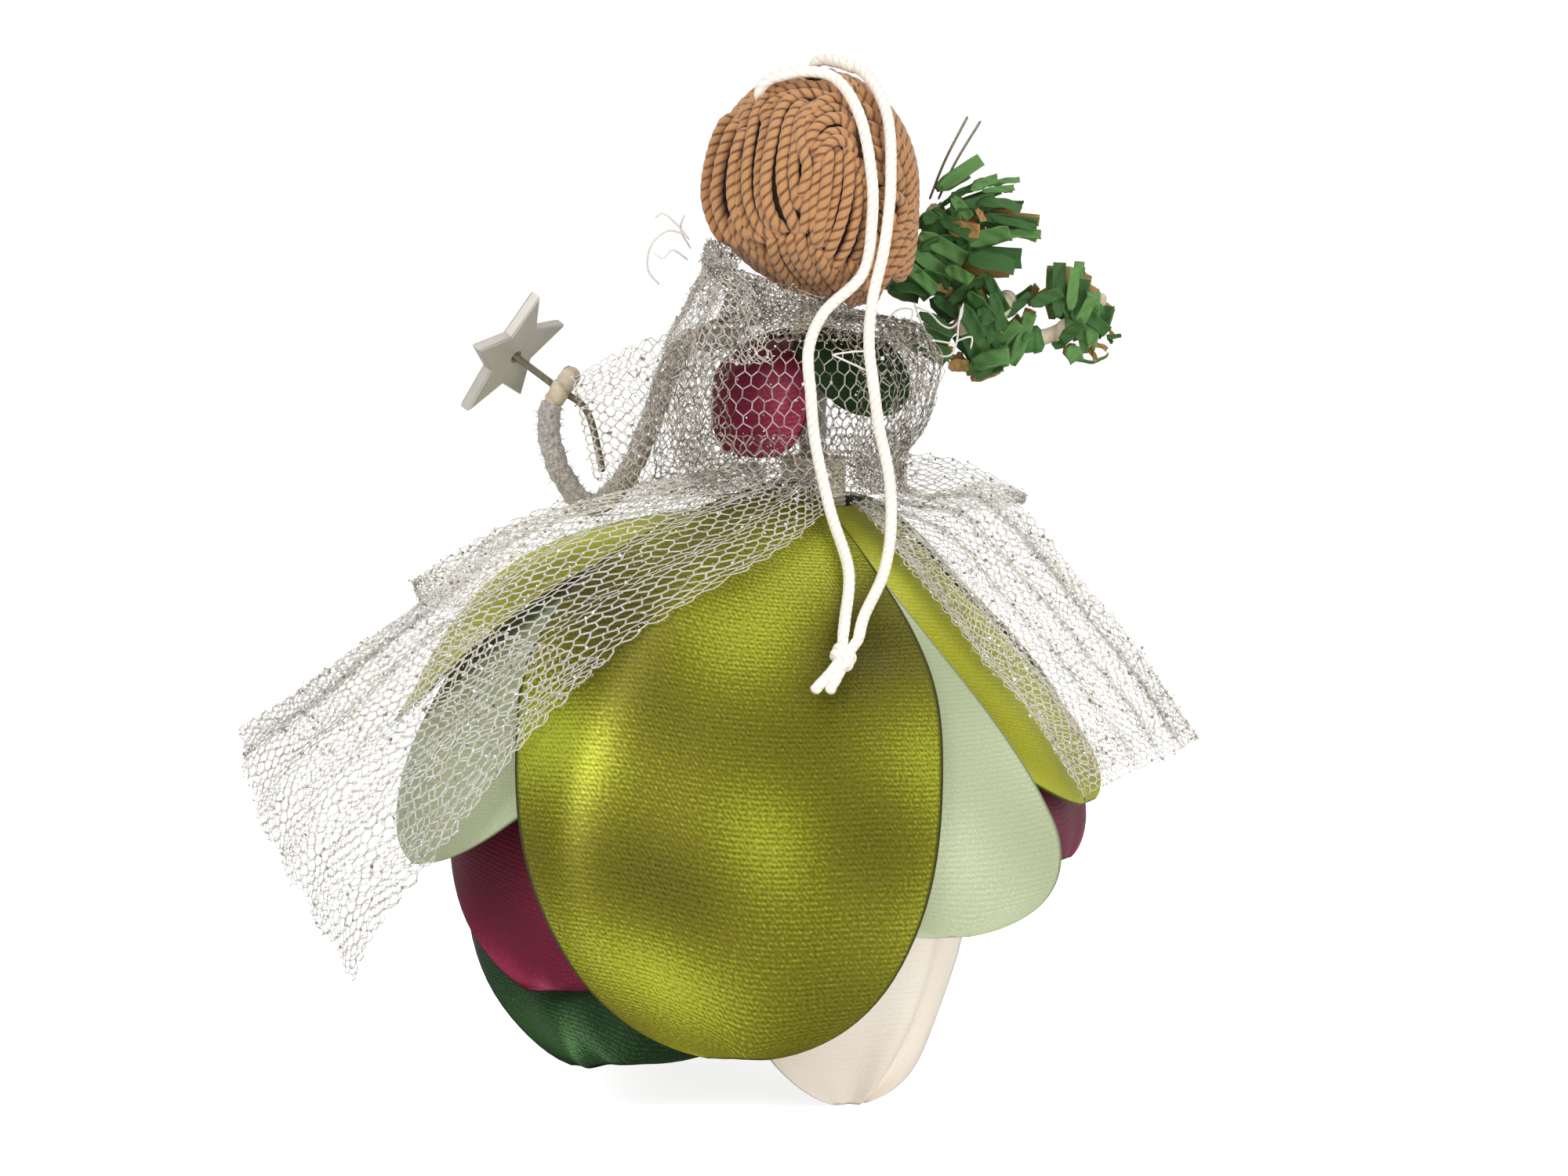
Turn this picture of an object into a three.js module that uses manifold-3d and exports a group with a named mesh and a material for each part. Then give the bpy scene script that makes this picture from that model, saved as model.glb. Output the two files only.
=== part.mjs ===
// A hanging fairy ornament: a wooden bead head under a wig of plied yarn, a covered wire body,
// a skirt of sewn satin petals, and a shawl, wings and bow of glitter net. One curled hand holds
// a star wand that turns in its grip, and the other holds a wreath of leaf tape.
// Units are millimetres. +Z is up, the fairy faces +Y, and the ornament stands on its petals' hems
// with the middle of its box over the origin.
import * as THREE from "three";
import { mergeVertices } from "three/addons/utils/BufferGeometryUtils.js";
import Module from "manifold-3d";

const wasm = await Module();
wasm.setup();

// Heights and the body
const waistHeight = 53;
const torsoLength = 20;
const neckLength = 4.4;
const stemDiameter = 2.6;
const stemBelowWaist = 20;
const fitGap = 0.4;

// Head, hair and face opening
const headDiameter = 18;
const headBore = 3.4;
const stemInHead = 7;
const hairWidth = 20.4;
const hairDepth = 21.4;
const hairHeight = 23.2;
const lockDepth = 0.5;
const faceWidth = 13.6;
const faceHeight = 14.4;
const faceDrop = 1.2;
const napeShift = 4.2;
const stringHole = 2.8;

// Hanging loop
const stringDiameter = 1.1;
const stringRootLength = 12;
const knotDiameter = 2.8;
const knotLength = 3.4;
const knotTailLength = 3;

// Cloth
const satinThickness = 0.4;
const netThickness = 0.5;
const layerGap = 0.45;
const widePetal = 42;
const slimPetal = 37;
const skirtRoot = 3.6;
const skirtReach = 27;
const skirtSway = 7;
const hemCut = 0.5;
const fluteDepth = 0.5;
const bodiceReach = 8;
const bodicePetal = 11;
const shawlReach = 9.6;
const shawlDrop = 14.6;
const collarReach = 6.6;
const collarHeight = 7.6;
const wingLiftLeft = 16;
const wingLiftRight = 12;

// Bow
const bowReachLeft = 35.5;
const bowReachRight = 17;
const bowWidthLeft = 8;
const bowWidthRight = 4;
const bowDepth = 4.5;

// Arms, hands and wand
const armDiameter = 2.2;
const armWireDiameter = 0.8;
const wireGap = 0.35;
const armReach = 24;
const shoulderDrop = 2.2;
const handDiameter = 2;
const gripGap = 0.35;
const wandDiameter = 0.7;
const wandLead = 3;
const wandTail = 6.5;
const starDiameter = 14;
const starThickness = 1.2;
const starBevel = 0.2;
const starStand = 6;

// Wreath of leaf tape
const wreathReach = 22;
const twigDiameter = 1.6;
const leafSleeve = 3.2;
const wireEndDiameter = 0.5;
const leafWidth = 1.7;
const leafLength = 8.5;
const leafThickness = 0.3;

const headRadius = headDiameter / 2;
const stemRadius = stemDiameter / 2;
const layerPitch = satinThickness + layerGap;
const neckHeight = waistHeight + torsoLength;
const headHeight = neckHeight + neckLength + headRadius;

const satin = (hex) => new THREE.MeshStandardMaterial({ color: hex, roughness: 0.45, metalness: 0 });
const matt = (hex) => new THREE.MeshStandardMaterial({ color: hex, roughness: 0.9, metalness: 0 });
const finishes = {
  chartreuse: satin(0x8f8c22),
  sage: satin(0xb7cbab),
  burgundy: satin(0x7a1d38),
  forest: satin(0x2a4a24),
  cream: satin(0xe9dfd4),
  net: new THREE.MeshStandardMaterial({ color: 0xb5aa9b, roughness: 0.5, metalness: 0.1 }),
  yarn: matt(0xb9844f),
  string: matt(0xefe6d8),
  bareWood: new THREE.MeshStandardMaterial({ color: 0xe2c197, roughness: 0.6, metalness: 0 }),
  armFelt: matt(0x8d8580),
  handPaper: matt(0xb7a58e),
  wire: new THREE.MeshStandardMaterial({ color: 0x7d7660, roughness: 0.4, metalness: 0.8 }),
  starPaint: new THREE.MeshStandardMaterial({ color: 0x8f8a80, roughness: 0.55, metalness: 0.2 }),
  leafPaper: matt(0x3c6a34),
  thread: matt(0xcfc4ae),
};

const ornament = new THREE.Group();

function add(name, geometry, material) {
  const mesh = new THREE.Mesh(geometry, material);
  mesh.name = name;
  ornament.add(mesh);
}

// Solids from meshes and back, for joining and cutting.
function solid(geometry) {
  const bare = new THREE.BufferGeometry();
  bare.setAttribute("position", geometry.getAttribute("position"));
  if (geometry.index) bare.setIndex(geometry.index);
  const merged = mergeVertices(bare, 1e-4);
  return new wasm.Manifold(
    new wasm.Mesh({
      numProp: 3,
      vertProperties: new Float32Array(merged.getAttribute("position").array),
      triVerts: new Uint32Array(merged.index.array),
    }),
  );
}

function geometryOf(made) {
  const mesh = made.getMesh();
  const geometry = new THREE.BufferGeometry();
  geometry.setAttribute("position", new THREE.BufferAttribute(mesh.vertProperties, 3));
  geometry.setIndex(new THREE.BufferAttribute(mesh.triVerts, 1));
  geometry.computeVertexNormals();
  return geometry;
}

// A closed skin of two sheets with a rim between them. pointAt(row, column, side) gives a point of
// the outer sheet for side 1 and of the inner sheet for side -1, with row and column as shares.
function skin(rows, columns, pointAt) {
  const across = columns + 1;
  const positions = [];
  for (const side of [1, -1])
    for (let row = 0; row <= rows; row++)
      for (let column = 0; column < across; column++)
        positions.push(...pointAt(row / rows, column / columns, side).toArray());
  const sheet = (rows + 1) * across;
  const at = (row, column, side) => (side > 0 ? 0 : sheet) + row * across + column;
  const faces = [];
  const quad = (a, b, c, d) => faces.push(a, b, c, a, c, d);
  for (let row = 0; row < rows; row++)
    for (let column = 0; column < columns; column++) {
      const [next, beside] = [row + 1, column + 1];
      quad(at(row, column, 1), at(next, column, 1), at(next, beside, 1), at(row, beside, 1));
      quad(at(row, column, -1), at(row, beside, -1), at(next, beside, -1), at(next, column, -1));
    }
  for (let column = 0; column < columns; column++) {
    quad(at(0, column, -1), at(0, column, 1), at(0, column + 1, 1), at(0, column + 1, -1));
    quad(at(rows, column, 1), at(rows, column, -1), at(rows, column + 1, -1), at(rows, column + 1, 1));
  }
  for (let row = 0; row < rows; row++) {
    quad(at(row, 0, 1), at(row, 0, -1), at(row + 1, 0, -1), at(row + 1, 0, 1));
    quad(at(row, columns, -1), at(row, columns, 1), at(row + 1, columns, 1), at(row + 1, columns, -1));
  }
  const geometry = new THREE.BufferGeometry();
  geometry.setAttribute("position", new THREE.Float32BufferAttribute(positions, 3));
  geometry.setIndex(faces);
  geometry.computeVertexNormals();
  return geometry;
}

// A round tube along a curve, solid or with a bore.
function tube(path, diameter, steps, { sides = 8, bore = 0 } = {}) {
  const section = (size) =>
    Array.from({ length: sides }, (_, i) => {
      const angle = (2 * Math.PI * i) / sides;
      return new THREE.Vector2((size / 2) * Math.cos(angle), (size / 2) * Math.sin(angle));
    });
  const shape = new THREE.Shape(section(diameter));
  if (bore > 0) shape.holes.push(new THREE.Path(section(bore)));
  return new THREE.ExtrudeGeometry(shape, { steps, bevelEnabled: false, extrudePath: path });
}

const smooth = (points) => new THREE.CatmullRomCurve3(points, false, "centripetal");

// A stretch of a longer curve, between two shares of its length.
class Stretch extends THREE.Curve {
  constructor(whole, start, end) {
    super();
    this.whole = whole;
    this.start = start;
    this.end = end;
  }
  getPoint(share, target = new THREE.Vector3()) {
    return this.whole.getPointAt(this.start + (this.end - this.start) * share, target);
  }
}

// A body turned on a lathe about the vertical axis, from its outline of [radius, height].
function turned(outline, segments) {
  const points = outline.map(([radius, height]) => new THREE.Vector2(radius, height));
  const geometry = new THREE.LatheGeometry(points, segments);
  geometry.rotateX(Math.PI / 2);
  return geometry;
}

function upright(radius, bottom, top, segments) {
  const geometry = new THREE.CylinderGeometry(radius, radius, top - bottom, segments);
  geometry.rotateX(Math.PI / 2);
  geometry.translate(0, 0, (bottom + top) / 2);
  return geometry;
}

// A table of rows read smoothly from its first row, at share 0, to its last, at share 1.
function along(shares, share) {
  const rows = shares.map(([a, b, c = 0]) => new THREE.Vector3(a, b, c));
  const curve = new THREE.CatmullRomCurve3(rows, false, "catmullrom", 0.5);
  return curve.getPoint(share);
}

// Draped cloth hangs on a common form, so that layers follow each other without crossing. The form
// is a bell about the body. Its two profiles hold [share of the drop, share of the reach] at even
// steps from the root to the floor: the right side slopes like a cone, and the left side stands
// out like a dome. Azimuth 0 is the fairy's back, and 90 degrees is her right side.
const skirt = {
  top: waistHeight,
  drop: waistHeight + hemCut,
  root: skirtRoot,
  reach: skirtReach,
  sway: skirtSway,
  flute: fluteDepth,
  flutes: 9,
  rightShares: [
    [0, 0],
    [0.06, 0.16],
    [0.15, 0.34],
    [0.26, 0.57],
    [0.38, 0.79],
    [0.51, 0.95],
    [0.66, 1.02],
    [0.82, 1.03],
    [1, 1],
  ],
  leftShares: [
    [0, 0],
    [0.035, 0.33],
    [0.1, 0.66],
    [0.2, 0.86],
    [0.32, 0.99],
    [0.46, 1.08],
    [0.62, 1.06],
    [0.8, 0.97],
    [1, 0.86],
  ],
};

const bodiceShares = [
  [0, 0],
  [0.04, 0.45],
  [0.14, 0.82],
  [0.3, 0.98],
  [0.5, 1],
  [0.75, 0.95],
  [1, 0.9],
];
const bodice = {
  top: neckHeight - layerPitch,
  drop: torsoLength,
  root: stemRadius + 2 * fitGap + satinThickness,
  reach: bodiceReach,
  sway: 0,
  flute: 0,
  flutes: 0,
  rightShares: bodiceShares,
  leftShares: bodiceShares,
};

const shawlShares = [
  [0, 0],
  [0.06, 0.42],
  [0.18, 0.8],
  [0.34, 1],
  [0.54, 1.01],
  [0.76, 0.95],
  [1, 0.86],
];
const shawl = {
  top: bodice.top + 2 * layerPitch,
  drop: shawlDrop,
  root: bodice.root + 2 * layerPitch,
  reach: shawlReach,
  sway: 0,
  flute: fluteDepth,
  flutes: 11,
  rightShares: shawlShares,
  leftShares: shawlShares,
};

const collarShares = [
  [0, 0.24],
  [0.25, 0.12],
  [0.5, 0.14],
  [0.75, 0.32],
  [1, 0.62],
];
const collar = {
  top: headHeight - headRadius + collarHeight,
  drop: collarHeight + neckLength,
  root: hairWidth / 2 + fitGap,
  reach: collarReach,
  sway: 0,
  flute: fluteDepth,
  flutes: 13,
  rightShares: collarShares,
  leftShares: collarShares,
};

function meridian(form, share, azimuth) {
  const towardsLeft = (1 - Math.sin(azimuth)) / 2;
  return along(form.rightShares, share).lerp(along(form.leftShares, share), towardsLeft);
}

// The point of a form at a share of its height and an azimuth in degrees. It stands off by layers
// and by rise along the form's normal, and by lift away from the axis.
function drape(form, share, degrees, { layer, reach, rise = 0, lift = 0 }) {
  const azimuth = THREE.MathUtils.degToRad(degrees);
  const step = 0.02;
  const before = meridian(form, Math.max(share - step, 0), azimuth);
  const after = meridian(form, Math.min(share + step, 1), azimuth);
  const outward = (after.y - before.y) * form.reach;
  const downward = (after.x - before.x) * form.drop;
  const length = Math.hypot(outward, downward);
  const here = meridian(form, share, azimuth);
  const ripple = form.flute * here.x * Math.sin(form.flutes * azimuth);
  const offset = layer * layerPitch + rise;
  const radius = form.root + reach * here.y + lift + ripple + (offset * downward) / length;
  return new THREE.Vector3(
    radius * Math.sin(azimuth) - form.sway * here.x,
    -radius * Math.cos(azimuth),
    form.top - form.drop * here.x + (offset * outward) / length,
  );
}

// A petal is cut as a teardrop: a neck that widens like a quarter sine, then a rounded hem. from
// and to are the azimuth of its middle at the root and at the hem. hemShare is how far down it
// reaches, and reachShare how far out.
function petal(form, cut) {
  const { layer, width, reachShare, from, to, hemShare, widestShare = 0.5, round = 2.1 } = cut;
  const { openShare = 0, rows = 9, columns = 6 } = cut;
  const neckShare = 0.16;
  const neckRowShare = 0.5;
  const lastAngle = THREE.MathUtils.degToRad(78);
  const widestTurn = 46;
  const point = (row, column, side) => {
    const across = 2 * column - 1;
    let share;
    let half;
    if (row <= neckRowShare) {
      const down = row / neckRowShare;
      share = widestShare * down;
      half = neckShare + (1 - neckShare) * Math.sin((Math.PI / 2) * down);
    } else {
      const angle = (lastAngle * (row - neckRowShare)) / (1 - neckRowShare);
      share = widestShare + (1 - widestShare) * (Math.sin(angle) / Math.sin(lastAngle));
      half = Math.pow(Math.cos(angle), 2 / round);
    }
    const place = share * hemShare;
    const reach = form.reach * reachShare;
    const radius = form.root + reach * meridian(form, place, THREE.MathUtils.degToRad(from)).y;
    const turn = THREE.MathUtils.radToDeg((half * width) / 2 / (radius + layer * layerPitch));
    const degrees = from + (to - from) * share + across * Math.min(turn, widestTurn);
    const spread = reach * (1 + openShare * across * share);
    return drape(form, place, degrees, { layer, reach: spread, rise: (side * satinThickness) / 2 });
  };
  return skin(rows, columns, point);
}

// A sheet of net between two edges, each a table of [share of the drop, azimuth, share of lift].
// The lift begins at a share of the way from the first edge to the second.
function netSheet(form, cut) {
  const { layer, reachShare = 1, lift = 0, liftShare = 0, firstShares, secondShares } = cut;
  const { rows, columns } = cut;
  const reach = form.reach * reachShare;
  const point = (row, column, side) => {
    const first = along(firstShares, row);
    const second = along(secondShares, row);
    const edge = first.clone().lerp(second, column);
    if (liftShare > 0) {
      const free = Math.max(column - liftShare, 0) / (1 - liftShare);
      edge.z = second.z * Math.pow(free, 1.5);
    }
    const off = lift * Math.max(edge.z, 0);
    return drape(form, Math.max(edge.x, 0), edge.y, {
      layer,
      reach,
      rise: (side * netThickness) / 2,
      lift: off,
    });
  };
  return skin(rows, columns, point);
}

// Cuts a standing hem flat where it meets the surface.
function standing(geometry) {
  const span = 4 * waistHeight;
  const floor = new THREE.BoxGeometry(span, span, span).translate(0, 0, -span / 2);
  return geometryOf(solid(geometry).subtract(solid(floor)));
}

// Wooden bead head, bored for the stem and the string.
{
  const boreRadius = headBore / 2;
  const start = Math.acos(boreRadius / headRadius);
  const steps = 12;
  const profile = Array.from({ length: steps + 1 }, (_, i) => {
    const angle = -start + (2 * start * i) / steps;
    return [headRadius * Math.cos(angle), headRadius * Math.sin(angle)];
  });
  profile.push(profile[0]);
  const bead = turned(profile, 24);
  bead.translate(0, 0, headHeight);
  add("head_bead", bead, finishes.bareWood);
}

// Wig of plied yarn glued over the bead, open at the face and parted round the string.
{
  const hair = new THREE.SphereGeometry(1, 28, 14);
  hair.rotateX(Math.PI / 2);
  const place = hair.getAttribute("position");
  const point = new THREE.Vector3();
  const lockCount = 8;
  for (let i = 0; i < place.count; i++) {
    point.fromBufferAttribute(place, i);
    const azimuth = Math.atan2(point.x, -point.y);
    const level = Math.hypot(point.x, point.y);
    const lower = Math.max(-point.z, 0);
    const lock = lockDepth * level * Math.cos(lockCount * azimuth + point.z);
    place.setXYZ(
      i,
      point.x * (hairWidth / 2 + lock) + napeShift * lower * lower,
      point.y * (hairDepth / 2 + lock),
      (point.z * hairHeight) / 2 + headHeight,
    );
  }
  const inner = new THREE.SphereGeometry(headRadius + fitGap, 18, 10);
  inner.translate(0, 0, headHeight);
  const face = new THREE.SphereGeometry(1, 14, 10);
  face.scale(faceWidth / 2, hairDepth, faceHeight / 2);
  face.translate(0, hairDepth, headHeight - faceDrop);
  const wig = solid(hair)
    .subtract(solid(inner))
    .subtract(solid(face))
    .subtract(solid(upright(stringHole / 2, headHeight, headHeight + hairHeight, 12)))
    .subtract(solid(upright(headBore, headHeight - hairHeight, headHeight, 12)));
  add("hair_wig", geometryOf(wig), finishes.yarn);
}

// Covered wire stem, from inside the bead down into the skirt.
const stemTop = headHeight - headRadius + stemInHead;
add("body_stem", upright(stemRadius, waistHeight - stemBelowWaist, stemTop, 12), finishes.armFelt);

// Bindings of wound thread: one ties the bodice at the neck, one carries the skirt at the waist.
const skirtLayers = 9;
function wound(bottom, top, radius) {
  const bore = stemRadius + fitGap;
  return turned([[bore, bottom], [radius, bottom], [radius, top], [bore, top], [bore, bottom]], 12);
}
const waistTop = waistHeight + skirtLayers * layerPitch;
add("waist_binding", wound(waistHeight - layerPitch, waistTop, skirtRoot - fitGap), finishes.thread);
add("neck_binding", wound(bodice.top - layerPitch, shawl.top, bodice.root - fitGap), finishes.thread);

// Petals of the skirt. The first ones lie inside, and each layer hangs over the ones before it.
// Each row is a name, a finish, a layer, a width, the shares of reach and of drop, and azimuths.
const finer = { rows: 12, columns: 8 };
const skirtPetalShares = [
  ["petal_cream_right", "cream", 0, widePetal, 0.57, 1, 26, 30, { round: 2.8 }],
  ["petal_forest_front", "forest", 0, slimPetal, 0.62, 1, -130, -134, {}],
  ["petal_cream_front", "cream", 1, slimPetal, 0.66, 1, 162, 164, {}],
  ["petal_forest_left", "forest", 1, widePetal, 0.78, 0.94, -40, -50, { openShare: -0.16 }],
  ["petal_olive_right", "sage", 2, slimPetal, 0.86, 0.66, 84, 88, { columns: 5 }],
  ["petal_burgundy_left", "burgundy", 2, widePetal, 0.86, 0.84, -50, -64, { openShare: -0.08 }],
  ["petal_burgundy_right", "burgundy", 3, slimPetal, 0.94, 0.69, 60, 68, {}],
  ["petal_chartreuse_left", "chartreuse", 3, slimPetal, 1, 0.62, -84, -88, {}],
  ["petal_burgundy_front", "burgundy", 3, slimPetal, 0.88, 0.9, 172, 176, { columns: 5 }],
  ["petal_chartreuse_right", "chartreuse", 4, slimPetal, 1, 0.64, 50, 66, {}],
  ["petal_forest_side", "forest", 4, slimPetal, 1, 0.66, -52, -66, {}],
  ["petal_chartreuse_front", "chartreuse", 4, slimPetal, 1, 0.84, -160, -162, {}],
  ["petal_sage_left", "sage", 5, widePetal, 1.02, 0.73, -40, -61, { widestShare: 0.62, ...finer }],
  ["petal_sage_front", "sage", 5, widePetal, 1, 0.76, 144, 142, {}],
  ["petal_sage_right", "sage", 6, slimPetal, 1.02, 0.75, -8, 32, { widestShare: 0.7, ...finer }],
  ["petal_chartreuse_back", "chartreuse", 7, widePetal, 1.02, 0.885, -5, -10, finer],
];
for (const row of skirtPetalShares) {
  const [name, finish, layer, width, reachShare, hemShare, from, to, more] = row;
  const shape = petal(skirt, { layer, width, reachShare, hemShare, from, to, ...more });
  add(name, hemShare < 1 ? shape : standing(shape), finishes[finish]);
}

// Small folded petals of the bodice, tied at the neck.
const bodicePetalShares = [
  ["bodice_burgundy", "burgundy", 0, 0.575, -34, -36],
  ["bodice_forest", "forest", 1, 0.45, 16, 16],
  ["bodice_sage", "sage", 0, 0.5, 171, 171],
  ["bodice_chartreuse", "chartreuse", 1, 0.52, -168, -168],
];
for (const [name, finish, layer, hemShare, from, to] of bodicePetalShares) {
  const cut = { layer, width: bodicePetal, reachShare: 1, hemShare, from, to, rows: 6, columns: 4 };
  add(name, petal(bodice, cut), finishes[finish]);
}

// The shawl of net lies over the shoulders in two halves, and the arms come out between them.
const shawlHalves = [
  ["net_shawl_back", 1, -76, 76],
  ["net_shawl_front", 0.88, 118, 242],
];
for (const [name, hemShare, start, end] of shawlHalves) {
  const firstShares = [0, 0.5, 1].map((share) => [share * hemShare, start]);
  const secondShares = [0, 0.5, 1].map((share) => [share * hemShare, end]);
  const cut = { layer: 0, firstShares, secondShares, rows: 6, columns: 12 };
  add(name, netSheet(shawl, cut), finishes.net);
}

// The collar of net stands up round the left of the hair from the shoulder.
{
  const firstShares = [[0.3, -140], [0.5, -138], [0.75, -136], [1, -134]];
  const secondShares = [[0.1, -74], [0.4, -64], [0.7, -56], [1, -46]];
  const cut = { layer: 0, firstShares, secondShares, rows: 4, columns: 8 };
  add("net_collar", netSheet(collar, cut), finishes.net);
}

// Wings: two tails of the net ribbon, tied at the waist and spread over the skirt.
{
  const cut = {
    layer: 8,
    reachShare: 1.02,
    lift: wingLiftLeft,
    rows: 10,
    columns: 7,
    firstShares: [
      [0.02, -60, 0],
      [0.2, -80, 0.25],
      [0.33, -86, 0.2],
      [0.45, -88, 0.45],
      [0.56, -88, 0.82],
    ],
    secondShares: [
      [0.02, -16, 0],
      [0.25, -22, 0],
      [0.45, -45, 0],
      [0.62, -58, 0],
      [0.82, -78, 0.1],
    ],
  };
  add("net_wing_left", netSheet(skirt, cut), finishes.net);
}
{
  const cut = {
    layer: 5,
    lift: wingLiftRight,
    liftShare: 0.3,
    rows: 10,
    columns: 7,
    firstShares: [
      [0.03, 34],
      [0.2, 38],
      [0.35, 46],
      [0.5, 54],
      [0.66, 62],
    ],
    secondShares: [
      [0.04, 66, 0.2],
      [0.155, 86, 0.56],
      [0.29, 90, 0.67],
      [0.42, 92, 0.72],
      [0.52, 92, 0.79],
    ],
  };
  add("net_wing_right", netSheet(skirt, cut), finishes.net);
}

// A loop of the bow: the ribbon runs out from the waist, turns at the far end and comes back.
function bowLoop({ from, to, width, rootShare, depth }) {
  const span = to.clone().sub(from);
  const up = new THREE.Vector3(-span.z, 0, span.x).normalize();
  const closedShare = 0.06;
  const point = (row, column, face) => {
    const turn = 2 * Math.PI * (closedShare + (1 - 2 * closedShare) * row);
    const out = (1 - Math.cos(turn)) / 2;
    const bulge = Math.sin(turn) * Math.sin(turn / 2) * (depth / 2 + (face * netThickness) / 2);
    const half = (width / 2) * (rootShare + (1 - rootShare) * out);
    const tip = (out * face * netThickness) / 2 / span.length();
    return from
      .clone()
      .addScaledVector(span, out + tip)
      .add(new THREE.Vector3(0, -bulge, 0))
      .addScaledVector(up, half * (2 * column - 1));
  };
  return skin(14, 2, point);
}
const bowHeight = waistTop - bowWidthRight / 3;
const leftLoop = {
  from: new THREE.Vector3(-skirtRoot, (2 * bowDepth) / 3, bowHeight),
  to: new THREE.Vector3(-skirtRoot - bowReachLeft, 2.4 * bowDepth, waistTop - 1.4 * bowWidthLeft),
  width: bowWidthLeft,
  rootShare: 0.25,
  depth: bowDepth,
};
const rightLoop = {
  from: new THREE.Vector3(skirtRoot, -fitGap, bowHeight),
  to: new THREE.Vector3(skirtRoot + bowReachRight, 0.4 * bowDepth, waistTop - bowWidthRight),
  width: bowWidthRight,
  rootShare: 0.4,
  depth: bowDepth,
};
add("net_bow_left", bowLoop(leftLoop), finishes.net);
add("net_bow_right", bowLoop(rightLoop), finishes.net);

// The arms are one wire bent across the front of the stem, in felt sleeves. The hands are its
// curled ends, wrapped in paper: the left one goes round the wand and the right one round the
// twig. The tables hold shares of the arms' reach from the middle of the shoulders.
const armFront = stemRadius + armWireDiameter / 2 + fitGap;
const shoulders = new THREE.Vector3(0, armFront, neckHeight - shoulderDrop);
const armPoint = ([x, y, z]) => new THREE.Vector3(x, y, z).multiplyScalar(armReach).add(shoulders);
const leftArmShares = [
  [-0.35, 0, 0.05],
  [-0.53, 0, 0.01],
  [-0.66, 0, -0.3],
  [-0.77, 0, -0.53],
  [-0.9, 0, -0.63],
  [-1.02, 0, -0.5],
  [-1.07, 0, -0.28],
];
const rightArmShares = [
  [0.35, 0.05, 0.04],
  [0.52, 0.08, 0.08],
  [0.63, 0.09, 0.1],
];
const leftGripShares = [-1.025, 0.07, -0.165];
const rightGripShares = [0.73, 0.165, 0.13];

// A hand curls round what it holds: radius to its middle line, from one angle to another about the
// held piece's axis, with an advance along that axis.
function curl(centre, across, over, radius, degrees) {
  return degrees.map((angle) => {
    const turn = THREE.MathUtils.degToRad(angle);
    return centre
      .clone()
      .addScaledVector(across, radius * Math.cos(turn))
      .addScaledVector(over, radius * Math.sin(turn));
  });
}
const towardsFront = new THREE.Vector3(0, 1, 0);
const wandAxis = new THREE.Vector3(0.8, 0, -0.6);
const overWand = new THREE.Vector3(0.6, 0, 0.8);
const wandGrip = armPoint(leftGripShares);
const wandHold = (handDiameter + wandDiameter) / 2 + gripGap;
const leftHand = curl(wandGrip, towardsFront, overWand, wandHold, [180, 135, 90, 45, 0, -45]);
const overTwig = new THREE.Vector3(0.67, 0, 0.74);
const twigGrip = armPoint(rightGripShares);
const twigHold = (handDiameter + twigDiameter) / 2 + gripGap;
const rightHand = curl(twigGrip, towardsFront, overTwig, twigHold, [180, 135, 90, 45, 0, -40]);
const armPath = smooth([
  ...leftHand.reverse(),
  ...leftArmShares.map(armPoint).reverse(),
  shoulders,
  ...rightArmShares.map(armPoint),
  ...rightHand,
]);
const insetShare = 0.008;
const wireRun = new Stretch(armPath, insetShare, 1 - insetShare);
add("arm_wire", tube(wireRun, armWireDiameter, 64, { sides: 6 }), finishes.wire);
const armRunShares = [
  ["hand_left", handDiameter, 0, 0.11, 10, "handPaper"],
  ["arm_sleeve_left", armDiameter, 0.114, 0.58, 22, "armFelt"],
  ["arm_sleeve_right", armDiameter, 0.745, 0.836, 6, "armFelt"],
  ["hand_right", handDiameter, 0.84, 1, 12, "handPaper"],
];
for (const [name, diameter, startShare, endShare, steps, finish] of armRunShares) {
  const run = new Stretch(armPath, startShare, endShare);
  add(name, tube(run, diameter, steps, { bore: armWireDiameter + 2 * wireGap }), finishes[finish]);
}

// The net between the shoulder and the left hand, in front of the arm as seen from the back.
{
  const upperShares = [[-0.59, -0.25, 0.07], [-0.75, -0.21, 0.01], [-0.93, -0.15, -0.1]];
  const lowerShares = [[-0.58, -0.27, -0.32], [-0.71, -0.21, -0.42], [-0.86, -0.15, -0.47]];
  const point = (row, column, side) =>
    along(upperShares, row)
      .lerp(along(lowerShares, row), column)
      .multiplyScalar(armReach)
      .add(shoulders)
      .add(new THREE.Vector3(0, (-side * netThickness) / 2, 0));
  add("net_sleeve_left", skin(5, 4, point), finishes.net);
}

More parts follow.
